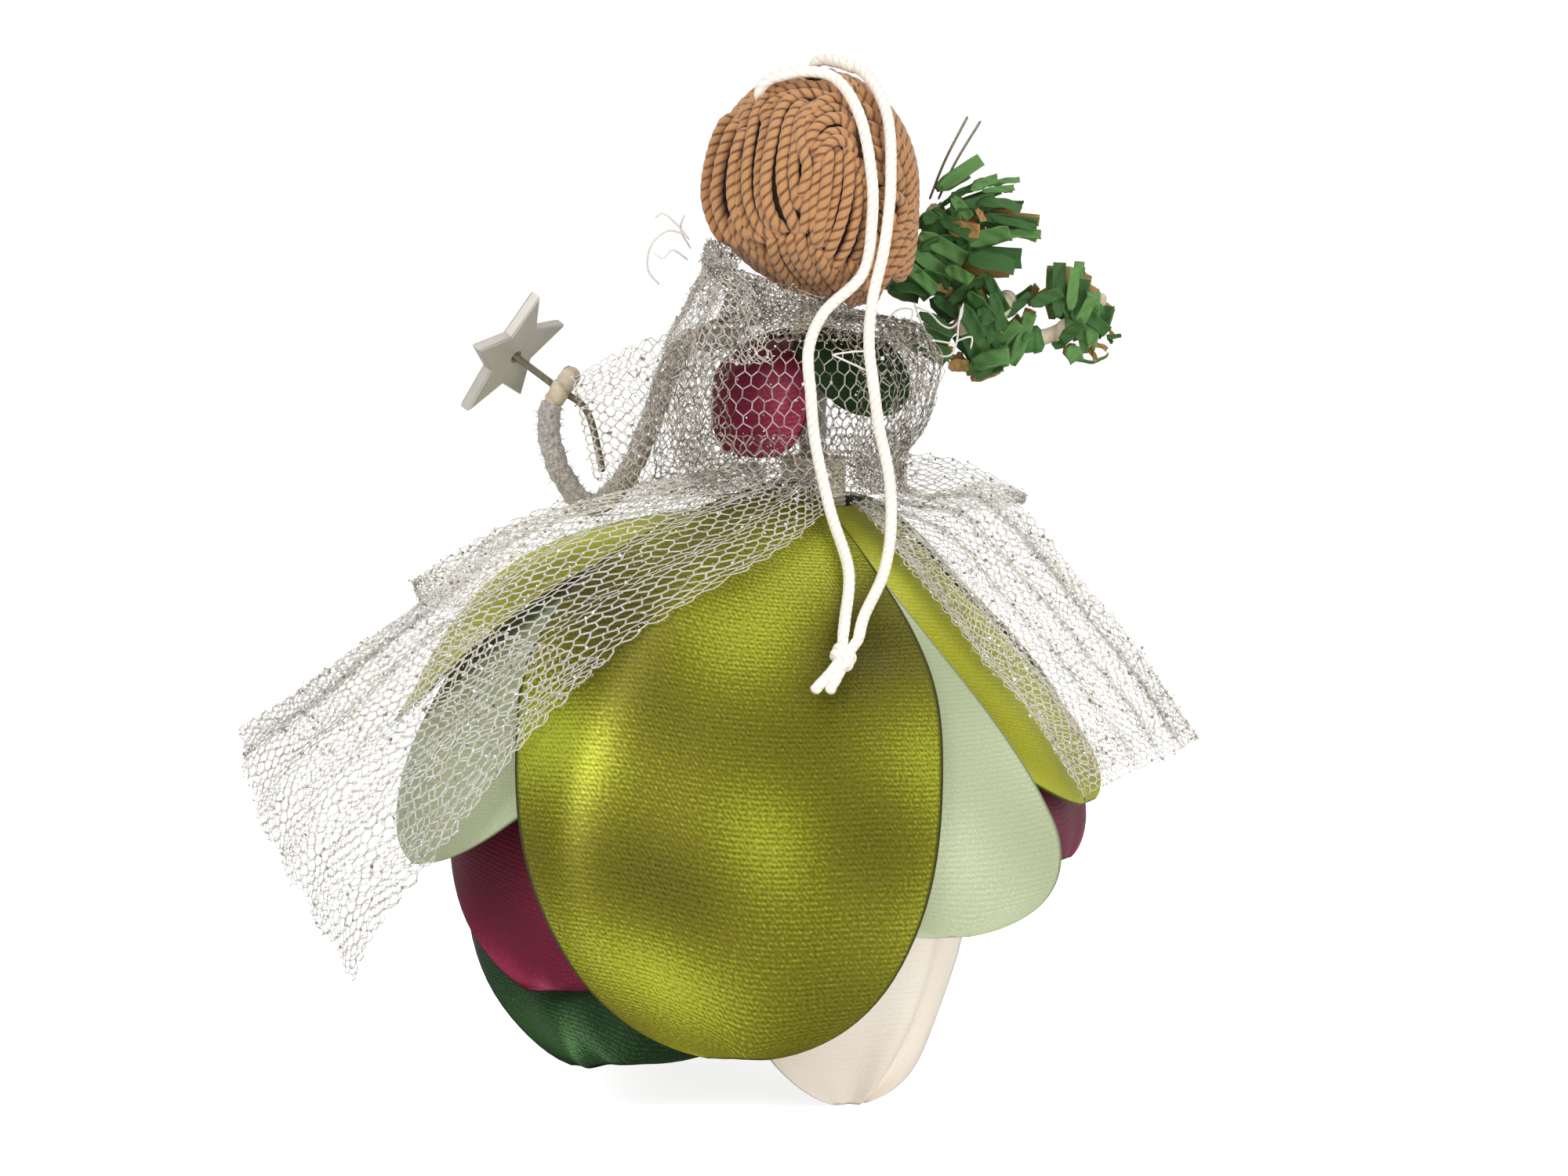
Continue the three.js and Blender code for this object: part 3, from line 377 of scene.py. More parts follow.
def beech_wood(name):
    """Turned beech under matt varnish: pale, with fine darker flecks 0.2 mm wide and 2 mm long that
    run down the bead, a slow change of tone, and a rosy stain on each cheek."""
    material, tree, shader = started(name, {"Roughness": 0.48, "Coat Weight": 0.15, "Coat Roughness": 0.4})
    place = put(tree, "TexCoord").outputs["Object"]
    grain = put(tree, "Mapping", {"Vector": place, "Scale": (5000, 5000, 500)})
    fleck = put(tree, "TexNoise", {"Vector": grain.outputs[0], "Scale": 1.0, "Detail": 2.0})
    broad = put(tree, "Mapping", {"Vector": place, "Scale": (350, 350, 60)})
    ring = put(tree, "TexNoise", {"Vector": broad.outputs[0], "Scale": 1.0, "Detail": 1.0})
    tones = {"Factor": ring.outputs["Fac"], mix_a: "#e8cba3", mix_b: "#d9b384"}
    wood = put(tree, "Mix", tones, data_type="RGBA")
    limits = {"From Min": 0.6, "From Max": 0.75, "To Max": 0.6}
    dark = put(tree, "MapRange", {"Value": fleck.outputs["Fac"], **limits})
    flecked = {"Factor": dark.outputs[0], mix_a: wood.outputs[mixed_out], mix_b: "#b98a58"}
    wood = put(tree, "Mix", flecked, data_type="RGBA")
    for side in (-1, 1):
        cheek = tuple(at((4.3 * side, 7.2, 83.4)))
        reach = put(tree, "VectorMath", {0: place, 1: cheek}, operation="DISTANCE")
        limits = {"From Min": 0.0026, "From Max": 0.0004, "To Max": 0.55}
        blush = put(tree, "MapRange", {"Value": reach.outputs["Value"], **limits})
        stained = {"Factor": blush.outputs[0], mix_a: wood.outputs[mixed_out], mix_b: "#d9796a"}
        wood = put(tree, "Mix", stained, data_type="RGBA")
    lift = put(tree, "Bump", {"Height": fleck.outputs["Fac"], "Strength": 0.15, "Distance": 0.00005})
    coated(tree, shader, wood.outputs[mixed_out], lift)
    return material


wood = beech_wood("varnished_beech")
bore, lower_bore_end, upper_bore_end, on_axis = 1.7, -1.9, 0.0, 0.02
edge = np.arcsin(bore / bead_radius)
swing = np.linspace(-np.pi / 2 + edge, np.pi / 2 - edge, 49)
ball = zip(bead_radius * np.cos(swing), bead_radius * np.sin(swing))
from_below = [(on_axis, lower_bore_end), (bore, lower_bore_end)]
from_above = [(bore, upper_bore_end), (on_axis, upper_bore_end)]
bead = turned_body(np.array([*from_below, *ball, *from_above]) + (0, head_height), 96)
bead_piece = built("beech_bead", [(bead, bead, 0.5)], wood)
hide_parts("head_bead")

# The face, brushed on the bare wood in brown craft paint: two dots, two brows and a small smile.
# Each stroke dries to a low ridge with a soft shine.
sockets = {"Roughness": 0.4, "Coat Weight": 0.3, "Coat Roughness": 0.2}
paint, tree, shader = started("brown_craft_paint", sockets)
place = put(tree, "TexCoord").outputs["Object"]
strokes = put(tree, "TexNoise", {"Vector": place, "Scale": 4000.0, "Detail": 2.0})
browns = {"Factor": strokes.outputs["Fac"], mix_a: "#2b1a12", mix_b: "#4a2f20"}
shade = put(tree, "Mix", browns, data_type="RGBA")
coated(tree, shader, shade.outputs[mixed_out])


def on_bead(points, stand=0.0):
    """Points on the front of the bead, from [across, height above the middle] in millimetres."""
    across, up = np.asarray(points, float).T
    depth = np.sqrt((bead_radius + stand) ** 2 - across**2 - up**2)
    return np.stack([across, depth, head_height + up], -1)


def brushed(points, width):
    """A brushed line on the bead: a plain rod with its ends rounded over 0.6 mm."""
    line = drawn(on_bead(points, 0.02), 0.1)
    return plied(line, towards_front, width, plies=2, pitch=99, sides=8, groove=0.0, taper=0.6)


face_parts = []
dot_half_wide, dot_half_high, dot_thick = 0.62, 0.85, 0.12
for side in (-1, 1):
    swing = np.linspace(-np.pi / 2 + 0.05, np.pi / 2 - 0.05, 15)
    dot = turned_body(np.stack([np.cos(swing), np.sin(swing)], -1), 24)
    middle = on_bead([(2.9 * side, -0.6)])[0]
    out = unit(middle - (0, 0, head_height))
    beside = unit(np.cross(out, (0, 0, 1)))
    wide, high, thick = dot_half_wide * dot[..., :1], dot_half_high * dot[..., 1:2], dot_thick * dot[..., 2:]
    dot = middle + wide * beside + high * np.cross(beside, out) + thick * out
    face_parts.append((dot, dot, 0.5))
    face_parts.append(brushed([(1.9 * side, 1.5), (2.9 * side, 2.0), (4.0 * side, 1.7)], 0.26))
face_parts.append(brushed([(-1.5, -3.8), (-0.8, -4.3), (0.0, -4.5), (0.8, -4.3), (1.5, -3.8)], 0.32))
built("painted_face", face_parts, paint)

# The wig: soft two-ply knitting yarn, laid strand by strand over a wound base and glued down. The
# strands part down the middle of the back, gather low, and leave the face open.
wig_half = np.array([10.2, 10.7, 11.6])
nape_shift = 4.2
wig_reach, strand_depth, dive_depth = 10, 0.5, 0.55
yarn = spun_fibre("caramel_yarn", "#482b18", "#8b5a31", "#b88654", 0.95, 0.3)


def on_wig(aim, depth):
    """The point of the wig in a direction, at a depth under its surface. The wig is an egg whose
    lower half leans to the right by nape_shift times the square of how low the point lies."""
    aim = unit(aim)
    low = np.clip(-aim[..., 2:], 0, 1)
    lean = np.concatenate([nape_shift * low**2, 0 * low, 0 * low], -1)
    return aim * (wig_half - depth) + lean + (0, 0, head_height)


def back_view(rows):
    """Directions from [across, up] as shares of the wig seen from behind. A third number bends a
    strand round to the front: it is the share of the depth, with the front positive."""
    rows = [(*row, None)[:3] for row in rows]
    aims = []
    for across, up, front in rows:
        if front is None:
            front = -np.sqrt(max(1 - across**2 - up**2, 0.01))
        aims.append((across, front, up))
    return unit(np.array(aims))


def strand(rows, size=1.15, lift=0.0):
    """A two-ply strand of yarn over the wig: its direction follows the guide rows, and it dives
    under its neighbours at both ends, where it also thins out."""
    aims = drawn(back_view(rows) * wig_reach, 0.2)
    share = np.linspace(0, 1, len(aims))[:, None]
    dive = 1 - np.clip(np.minimum(share, 1 - share) / 0.1, 0, 1)
    line = on_wig(aims, strand_depth + dive_depth * dive - lift)
    run = run_along(line)[:, None]
    thin = np.sqrt(np.clip(np.minimum(run, run[-1] - run) / 0.8, 0.1, 1))
    return plied(line, unit(aims), size, plies=2, pitch=2.1, sides=12, groove=0.14, ease=thin)


def wig_sketch(points):
    """Guide rows from places on a 900 by 1050 sketch of the wig's back, with the lean taken out."""
    middle, half, lean, rim = (450, 510), (405, 465), 0.41, 0.985
    points = np.asarray(points, float)
    up = (middle[1] - points[:, 1]) / half[1]
    across = (points[:, 0] - middle[0]) / half[0] - lean * np.clip(-up, 0, 1) ** 2
    size = np.maximum(np.hypot(across, up) / rim, 1)
    return list(zip(across / size, up / size))


# Each strand is a row of places on that sketch: the left side, the middle and its turns, the low
# gather, the crown and the right side.
guides = [
    [(300, 75), (235, 120), (190, 200), (160, 300), (150, 450), (165, 600), (215, 690), (290, 715)],
    [(335, 100), (270, 135), (225, 210), (203, 310), (187, 460), (205, 590), (250, 670), (315, 705)],
    [(370, 120), (310, 150), (265, 220), (243, 315), (226, 460), (240, 585), (285, 665), (335, 690)],
    [(400, 135), (350, 160), (310, 225), (287, 318), (265, 455), (275, 575), (312, 650), (350, 675)],
    [(430, 145), (388, 180), (352, 240), (335, 325), (322, 450), (340, 565), (372, 650), (385, 700)],
    [(455, 155), (415, 195), (388, 250), (378, 330), (368, 440), (380, 530), (392, 600)],
    [(480, 160), (430, 205), (398, 270), (404, 340), (424, 420), (414, 490), (388, 545)],
    [(410, 330), (425, 250), (480, 195), (545, 180), (600, 240)],
    [(408, 290), (432, 215), (490, 160), (560, 150), (612, 200)],
    [(420, 355), (448, 280), (505, 232), (565, 232), (612, 290)],
    [(437, 385), (475, 318), (530, 278), (580, 290), (622, 350)],
    [(455, 405), (492, 350), (536, 316), (582, 332), (612, 385)],
    [(432, 470), (424, 545), (416, 620), (408, 690)],
    [(472, 360), (458, 470), (450, 560), (452, 640), (462, 725)],
    [(508, 330), (500, 450), (490, 550), (472, 650), (462, 745)],
    [(546, 322), (544, 450), (530, 550), (504, 650), (480, 750)],
    [(584, 322), (588, 440), (580, 540), (555, 640), (515, 740), (490, 790)],
    [(618, 400), (628, 500), (620, 600), (595, 700), (548, 790), (505, 840)],
    [(650, 480), (662, 580), (655, 680), (625, 770), (575, 850), (535, 900)],
    [(285, 690), (300, 770), (340, 840), (400, 900), (450, 930)],
    [(322, 690), (335, 760), (375, 835), (435, 900), (490, 945)],
    [(358, 680), (370, 755), (410, 830), (465, 895), (525, 955)],
    [(395, 670), (405, 750), (440, 825), (495, 895), (555, 965)],
    [(432, 690), (443, 765), (475, 835), (525, 900), (583, 970)],
    [(468, 740), (490, 810), (525, 870), (570, 925), (612, 978)],
    [(508, 780), (535, 840), (575, 900), (610, 945), (638, 985)],
    [(550, 800), (585, 850), (620, 905), (648, 950), (660, 985)],
    [(590, 790), (625, 845), (655, 900), (672, 950)],
    [(200, 165), (150, 290), (133, 400), (128, 520), (150, 620), (205, 710), (262, 775)],
    [(60, 540), (100, 650), (165, 745), (245, 825), (330, 885), (410, 920)],
    [(110, 610), (160, 700), (235, 780), (320, 850), (410, 905), (480, 940)],
    [(150, 640), (205, 725), (275, 795), (350, 860), (430, 915)],
    [(170, 250), (195, 165), (265, 100), (350, 62), (440, 50), (530, 70), (600, 115)],
    [(205, 250), (235, 170), (300, 120), (380, 95), (460, 90), (540, 110), (600, 150)],
    [(240, 240), (270, 180), (330, 142), (400, 128), (470, 130), (530, 150)],
    [(520, 60), (620, 115), (700, 205), (750, 300), (775, 390)],
    [(580, 110), (660, 180), (725, 275), (770, 375), (790, 470)],
    [(600, 170), (690, 225), (765, 310), (820, 405), (848, 510), (840, 610)],
    [(630, 240), (710, 275), (775, 345), (815, 430), (828, 530), (810, 640)],
    [(640, 300), (710, 325), (765, 385), (798, 460), (802, 550)],
    [(645, 350), (705, 370), (755, 420), (785, 480)],
    [(648, 395), (700, 412), (745, 450), (775, 505)],
    [(655, 440), (700, 455), (740, 485), (765, 525)],
    [(690, 520), (750, 525), (800, 565), (790, 640), (745, 715)],
    [(685, 565), (735, 575), (765, 620), (748, 690), (705, 765)],
    [(675, 610), (715, 640), (725, 700), (700, 780), (665, 850)],
    [(665, 660), (690, 710), (690, 780), (665, 850), (640, 910)],
    [(640, 690), (660, 750), (655, 820), (630, 880), (610, 930)],
    [(840, 520), (820, 620), (775, 715), (725, 800), (690, 880), (665, 950)],
    [(790, 600), (765, 700), (720, 790), (690, 860), (660, 920), (650, 970)],
    [(855, 560), (838, 650), (795, 745), (745, 830), (700, 905), (668, 965)],
    [(605, 380), (640, 430), (655, 500), (665, 570), (672, 640)],
    [(600, 215), (660, 255), (720, 300), (768, 350)],
]
back_strands = [
    strand(wig_sketch(points), 1.15 + 0.08 * np.sin(5.1 * i), 0.26 * np.sin(2.4 * i) - 0.05)
    for i, points in enumerate(guides)
]

# A lobe of three strands bulges out on the left, and leaves a notch where it starts.
lobe = [
    [(150, 215), (104, 290), (66, 410), (50, 530), (78, 645), (130, 735)],
    [(172, 235), (128, 320), (96, 440), (90, 560), (124, 665), (185, 750)],
    [(196, 262), (158, 350), (140, 460), (142, 560), (168, 640), (215, 712)],
]
back_strands += [strand(wig_sketch(points), 1.2, lift) for points, lift in zip(lobe, (0.75, 0.6, 0.35))]
yarn_back = built("yarn_back", back_strands, yarn)
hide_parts("hair_wig")

# Round the sides and the front the strands fall straight from the crown and turn under at the jaw.
# Their rows are [across, up, towards the front].
side_strands = []
for side in (-1, 1):
    for i, front in enumerate(np.linspace(-0.34, 0.7, 11)):
        rows = [
            (0.06 * side, 0.96, front * 0.9 - 0.1),
            (0.5 * side, 0.82, front),
            (side * np.sqrt(1 - min(front + 0.02, 0.72) ** 2), 0.18, front + 0.02),
            (0.93 * side * np.sqrt(1 - front**2), -0.4, front - 0.02),
            (0.55 * side, -0.86, 0.75 * front - 0.16),
        ]
        side_strands.append(strand(rows, lift=0.12 * np.sin(3.1 * i)))
for i, across in enumerate(np.linspace(-0.42, 0.42, 7)):
    fringe_end = (1.1 * across, 0.68 - 0.2 * across**2, 0.7)
    rows = [(0.5 * across, 0.98, -0.1), (0.8 * across, 0.9, 0.3), fringe_end]
    side_strands.append(strand(rows, lift=0.1 * np.sin(1.7 * i)))
yarn_sides = built("yarn_sides", side_strands, yarn)
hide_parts("hair_wig")

# The wound base under the strands closes every crevice between them, and ends round the face.
base_depth, glue_gap = 1.35, 0.12
spread = np.linspace(0.02, 1, 30)[:, None]
around = np.linspace(0, 2 * np.pi, 64, endpoint=False)[None]
polar = spread * (np.radians(131) + np.radians(3) * np.sin(around))
aim = np.stack([np.sin(polar) * np.cos(around), -np.cos(polar), np.sin(polar) * np.sin(around)], -1)
outer = on_wig(aim, base_depth)
inner = aim[::-1] * (bead_radius + glue_gap) + (0, 0, head_height)
base = np.concatenate([outer, inner])
# Its tone of 0.1 gives it the groove's painted shade all over, as in the crevices between strands.
yarn_base = built("yarn_base", [(base, base, 0.1)], yarn)
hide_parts("hair_wig")

# The body: stiff wire under grey-brown felted chenille. The stem runs from the bead down into the
# skirt, and the arms are one wire bent across the shoulders, bare where the bodice hides it.
felt, tree, shader = started("grey_felt", {"Roughness": 0.95, "Sheen Weight": 0.5, "Sheen Roughness": 0.7})
place = put(tree, "TexCoord").outputs["Object"]
lint = put(tree, "TexNoise", {"Vector": place, "Scale": 3200.0, "Detail": 4.0, "Roughness": 0.7})
stops = [(0.35, "#6f6862"), (0.5, "#9c938b"), (0.68, "#c3bab2")]
shade = put(tree, "ValToRGB", {"Fac": lint.outputs["Fac"]}, stops)
lift = put(tree, "Bump", {"Height": lint.outputs["Fac"], "Strength": 0.8, "Distance": 0.0002})
coated(tree, shader, shade.outputs["Color"], lift)
# The four corners of a thin strip, plate or fibre, as shares to its side and over it.
corner_side, corner_over = np.array([(1, 0, -1, 0), (0, 1, 0, -1)])[..., None]


def fuzzed(line, lean, size, count, seed):
    """A felted sleeve: a round tube whose radius wavers by a tenth, and loose fibres 0.05 mm thick
    that stand off it at random angles, each a thin four-sided spike."""
    sides, half_thick = 20, np.array([0.03, 0.026, 0.01])[:, None, None]
    chance = np.random.default_rng(seed)
    run = run_along(line)[:, None]
    angle = round_angles(sides, run)
    waver = 0.05 * np.sin(3 * angle + 2.1 * run) + 0.05 * np.sin(5.3 * run - 2 * angle)
    ease = np.sqrt(np.clip(np.minimum(run, run[-1] - run) / 0.5, 0.15, 1))
    rings, straight = wound(line, lean, size / 2 * (1 + waver) * ease, angle)
    row = chance.integers(1, len(line) - 1, count)
    spot = chance.integers(0, sides, count)
    foot = rings[row, spot]
    out = unit(foot - line[row])
    toss = chance.normal(0, 1, (count, 3))
    aim = unit(out + 0.8 * toss)
    beside = unit(np.cross(aim, out + 0.01))
    across = np.cross(aim, beside)
    length = chance.uniform(0.2, 0.6, count)[:, None]
    bend = foot + aim * length * 0.5 + 0.12 * length * toss
    tip = foot + aim * length + 0.1 * out
    levels = np.stack([foot - 0.1 * out, bend, tip], 1)[:, :, None]
    section = corner_side * beside[:, None, None] + corner_over * across[:, None, None]
    spikes = levels + half_thick * section
    return [(rings, straight, 0.5), (spikes, spikes, 0.7)]


stem_low, stem_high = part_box("body_stem")
line = drawn([(0, 0, stem_low.z * 1000), (0, 0, stem_high.z * 1000)], 0.3)
stem = built("felted_stem", fuzzed(line, towards_front, 2.6, 260, 3), felt)
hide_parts("body_stem")

# The arms' bends are shares of their reach from the middle of the shoulders.
reach = 24.0
shoulders = np.array([0, 2.1, 70.8])
left_arm = np.array([
    (-0.35, 0, 0.05), (-0.53, 0, 0.01), (-0.66, 0, -0.3), (-0.77, 0, -0.53), (-0.9, 0, -0.63),
    (-1.02, 0, -0.5), (-1.07, 0, -0.28),
])
right_arm = np.array([(0.35, 0.05, 0.04), (0.52, 0.08, 0.08), (0.63, 0.09, 0.1)])
wand_grip = shoulders + reach * np.array([-1.025, 0.07, -0.165])
twig_grip = shoulders + reach * np.array([0.73, 0.165, 0.13])


def curl(centre, over, radius, degrees):
    """Points of a hand's curl: a circle about what it holds, from the front over the top."""
    turn = np.radians(np.array(degrees))[:, None]
    return centre + radius * (np.cos(turn) * towards_front + np.sin(turn) * over)


left_curl = curl(wand_grip, np.array([0.6, 0, 0.8]), 1.7, (180, 135, 90, 45, 0, -45))
right_curl = curl(twig_grip, np.array([0.67, 0, 0.74]), 2.15, (180, 135, 90, 45, 0, -40))
left_half = [left_curl[::-1], shoulders + reach * left_arm[::-1]]
arms = [*left_half, [shoulders], shoulders + reach * right_arm, right_curl]
arm_line = drawn(np.concatenate(arms), 0.05)


def stretch(line, start, end, step):
    """The part of a line between two shares of its length, in even steps."""
    run = run_along(line)
    places = np.arange(start * run[-1], end * run[-1], step)
    return np.stack([np.interp(places, run, line[:, i]) for i in range(3)], -1)


for name, node_name, start, end, seed in (
    ("felted_arm_left", "arm_sleeve_left", 0.1, 0.58, 5),
    ("felted_arm_right", "arm_sleeve_right", 0.745, 0.836, 6),
):
    line = stretch(arm_line, start, end, 0.2)
    arm = built(name, fuzzed(line, towards_front, 2.2, int(len(line) * 3.5), seed), felt)
    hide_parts(node_name)

# The bare wire inside the sleeves, which only shows in the gaps: annealed steel, dull and a little
# brown, with faint marks from drawing.
wire, tree, shader = started("annealed_wire", {"Metallic": 0.85, "Roughness": 0.42})
place = put(tree, "TexCoord").outputs["Object"]
drawn_marks = put(tree, "TexNoise", {"Vector": place, "Scale": 2600.0, "Detail": 3.0})
greys = {"Factor": drawn_marks.outputs["Fac"], mix_a: "#6a6353", mix_b: "#a19a86"}
shade = put(tree, "Mix", greys, data_type="RGBA")
coated(tree, shader, shade.outputs[mixed_out])


def rod(line, lean, size, sides=12):
    """A plain round wire. Its radius is size/2, and over that length at each end it follows a
    quarter of a circle."""
    run = run_along(line)[:, None]
    left = np.clip(np.minimum(run, run[-1] - run) / (size / 2), 0, 1)
    radius = size / 2 * np.sqrt(np.clip(1 - (1 - left) ** 2, 0.03, 1))
    rings, straight = wound(line, lean, radius, round_angles(sides, run))
    return rings, straight, 0.5


bare_wire = rod(stretch(arm_line, 0.008, 0.992, 0.3), towards_front, 0.8)
arm_wire = built("bent_arm_wire", [bare_wire], wire)
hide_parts("arm_wire")

# The hands are the wire's curled ends, wrapped in tan crepe tape. The tape overlaps itself in a spiral, with a
# painted shade where each turn runs under the next, and its crinkles give it a matt, uneven tone.
crepe, tree, shader = started("tan_crepe_tape", {"Roughness": 0.85, "Sheen Weight": 0.15})
straight = put(tree, "Attribute", attribute_name="straight").outputs["Vector"]
tone = put(tree, "Attribute", attribute_name="tone").outputs["Fac"]
placed = put(tree, "Mapping", {"Vector": straight, "Scale": (1.5, 1.5, 7.0)})
crinkle = put(tree, "TexNoise", {"Vector": placed.outputs[0], "Scale": 1.2, "Detail": 3.0})
mixed = put(tree, "Math", {0: crinkle.outputs["Fac"], 1: 0.6, 2: tone}, operation="MULTIPLY_ADD")
shade = put(tree, "ValToRGB", {"Fac": mixed.outputs[0]}, [(0.25, "#938068"), (1.0, "#cbbda6")])
lift = put(tree, "Bump", {"Height": crinkle.outputs["Fac"], "Strength": 0.6, "Distance": 0.00012})
coated(tree, shader, shade.outputs["Color"], lift)


def taped(line, lean, size, pitch):
    """A wire wrapped in tape: the radius drops by an eighth across each turn of the tape, from the edge that
    lies on top to where the next turn covers it. Its tone falls the same way, a painted shade under the next
    turn's edge."""
    run = run_along(line)[:, None]
    angle = round_angles(24, run)
    lap = (run / pitch + angle / (2 * np.pi)) % 1
    ease = np.sqrt(np.clip(np.minimum(run, run[-1] - run) / 0.6, 0.1, 1))
    rings, straight = wound(line, lean, size / 2 * (1 - 0.13 * lap) * ease, angle)
    return rings, straight, 0.65 - 0.45 * lap**3


for name, node_name, start, end in (
    ("taped_hand_left", "hand_left", 0.0, 0.11),
    ("taped_hand_right", "hand_right", 0.84, 1.0),
):
    part = taped(stretch(arm_line, start, end, 0.12), towards_front, 2.05, 1.5)
    hand = built(name, [part], crepe)
    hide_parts(node_name)

# Two bindings of ecru thread, wound close round the stem and glued: one carries the skirt at the
# waist, the other ties the bodice under the neck.
thread = spun_fibre("ecru_thread", "#8f8164", "#cfc4ae", "#e6ddca", 0.7, 0.2)
thread_pitch = 0.45


def thread_winding(bottom, top, size):
    """Thread wound close round the stem: the radius follows half turns of a sine, one for every
    thread_pitch of height, and the turns climb like a screw. It thins out at both ends."""
    height = np.arange(bottom, top, 0.06)[:, None]
    angle = round_angles(48, height)
    crest = np.abs(np.sin(np.pi * (height / thread_pitch - angle / (2 * np.pi))))
    thin = np.clip(1 - np.minimum(height - bottom, top - height) / 0.3, 0, 1)
    radius = size / 2 - 0.2 * (1 - crest) - 0.15 * thin
    rings = np.stack([radius * np.cos(angle), radius * np.sin(angle), height + 0 * angle], -1)
    return rings, rings * (2.0, 2.0, 1.0), crest


for name, node_name in (("waist_winding", "waist_binding"), ("neck_winding", "neck_binding")):
    low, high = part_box(node_name)
    size = (high.x - low.x) * 1000
    winding = built(name, [thread_winding(low.z * 1000, high.z * 1000, size)], thread)
    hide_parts(node_name)

# The skirt: sixteen petals cut from polyester satin ribbon and heat-sealed along the edge, each
# gathered to a neck and bound round the waist, the later ones over the earlier ones. All follow
# one bell about the body, which slopes like a cone on the right and stands out on the left.
skirt = dict(
    top=53, drop=53.5, root=3.6, reach=27, sway=7, flute=0.5, flutes=9,
    right=[
        (0, 0), (0.06, 0.16), (0.15, 0.34), (0.26, 0.57), (0.38, 0.79), (0.51, 0.95), (0.66, 1.02),
        (0.82, 1.03), (1, 1),
    ],
    left=[
        (0, 0), (0.035, 0.33), (0.1, 0.66), (0.2, 0.86), (0.32, 0.99), (0.46, 1.08), (0.62, 1.06),
        (0.8, 0.97), (1, 0.86),
    ],
)
layer_pitch = 0.85


def read_table(rows, share):
    """A table of evenly spaced rows read at shares of its length, as a Catmull-Rom curve."""
    rows = np.asarray(rows, float)
    ends = np.vstack([2 * rows[0] - rows[1], rows, 2 * rows[-1] - rows[-2]])
    place = np.clip(share, 0, 1) * (len(rows) - 1)
    first = np.minimum(place.astype(int), len(rows) - 2)
    t = (place - first)[..., None]
    a, b, c, d = (ends[first + i] for i in range(4))
    slope, next_slope = (c - a) / 2, (d - b) / 2
    square, cube = 3 * (c - b) - 2 * slope - next_slope, 2 * (b - c) + slope + next_slope
    return b + slope * t + square * t**2 + cube * t**3


def meridian(form, share, degrees):
    """[Share of the drop, share of the reach] of a form, which turns from its right profile to its
    left one with the sine of the azimuth. Azimuth 0 is the back and 90 is on the right."""
    to_left = ((1 - np.sin(np.radians(degrees))) / 2)[..., None]
    return read_table(form["right"], share) * (1 - to_left) + read_table(form["left"], share) * to_left


def drape(form, share, degrees, reach_share=1.0, stand=0.0, lift=0.0):
    """A point of a form at a share of its height and an azimuth: the radius is the root plus the
    reach times the profile plus a flute, and the point stands off along the profile's normal."""
    share, degrees = np.broadcast_arrays(np.asarray(share, float), np.asarray(degrees, float))
    before = meridian(form, np.maximum(share - 0.02, 0), degrees)
    after = meridian(form, np.minimum(share + 0.02, 1), degrees)
    outward = (after - before)[..., 1] * form["reach"]
    downward = (after - before)[..., 0] * form["drop"]
    length = np.hypot(outward, downward)
    down, out = np.moveaxis(meridian(form, share, degrees), -1, 0)
    azimuth = np.radians(degrees)
    radius = form["root"] + form["reach"] * reach_share * out + lift + stand * downward / length
    radius = radius + form["flute"] * down * np.sin(form["flutes"] * azimuth)
    x = radius * np.sin(azimuth) - form["sway"] * down
    z = form["top"] - form["drop"] * down + stand * outward / length
    return np.stack([x, -radius * np.cos(azimuth), z], -1)


def petal(
    form, layer, width, reach_share, drop_share, start, end,
    widest=0.5, blunt=2.1, opening=0.0, neck=1.0, swell=None,
):
    """A petal on a form: its half width grows from a neck like a quarter sine to the power of neck,
    up to the widest place, then closes in a round hem. swell(across, down) lifts it off the form.
    Each row is a loop, out over the face and back under it. The tone is 1 in the sealed edge, and
    the flat pattern holds millimetres across and down."""
    rows, columns, thick, sealed_width, widest_spread = 56, 33, 0.3, 0.3, 46
    row = np.linspace(0, 1, rows)[:, None]
    across = -np.cos(np.linspace(0, np.pi, columns))[None]
    across = 0.5 * across + 0.5 * np.linspace(-1, 1, columns)
    turn = np.radians(84) * np.clip((row - 0.5) / 0.5, 0, 1)
    upper = row <= 0.5
    lower_share = widest + (1 - widest) * np.sin(turn) / np.sin(np.radians(78))
    share = np.where(upper, widest * row / 0.5, lower_share)
    upper_half = 0.16 + 0.84 * np.sin(np.pi * np.minimum(row, 0.5)) ** neck
    half = np.where(upper, upper_half, np.cos(turn) ** (2 / blunt))
    place = share * drop_share
    reach_there = meridian(form, place, np.full_like(place, start))[..., 1]
    radius = form["root"] + form["reach"] * reach_share * reach_there + layer * layer_pitch
    spread = np.minimum(np.degrees(half * width / 2 / radius), widest_spread)
    degrees = start + (end - start) * share + across * spread
    reach_here = reach_share * (1 + opening * across * share)
    puff = swell(across, share) if swell else 0.0
    waves = 0.07 * np.sin(7 * across + 5 * share) * np.sin(9 * share + 3 * across)
    off = layer * layer_pitch + waves + puff
    faces = [drape(form, place + 0 * across, degrees, reach_here, off + side * thick / 2) for side in (1, -1)]
    loops = np.concatenate([faces[0][:, ::-1], faces[1]], 1)
    loops[..., 2] = np.maximum(loops[..., 2], 0.0)
    middle = (faces[0] + faces[1]) / 2
    steps = np.linalg.norm(np.diff(middle, axis=0), axis=2)
    down = np.cumsum(np.r_[np.zeros((1, columns)), steps], 0)
    hem = np.minimum((1 - np.abs(across)) * half * width / 2, down[-1] - down)
    sealed = np.clip(1 - hem / sealed_width, 0, 1)
    flat = np.stack([across * half * width / 2 + 0 * down, down, 0 * down], -1)
    return loops, np.concatenate([flat[:, ::-1], flat], 1), np.concatenate([sealed[:, ::-1], sealed], 1)


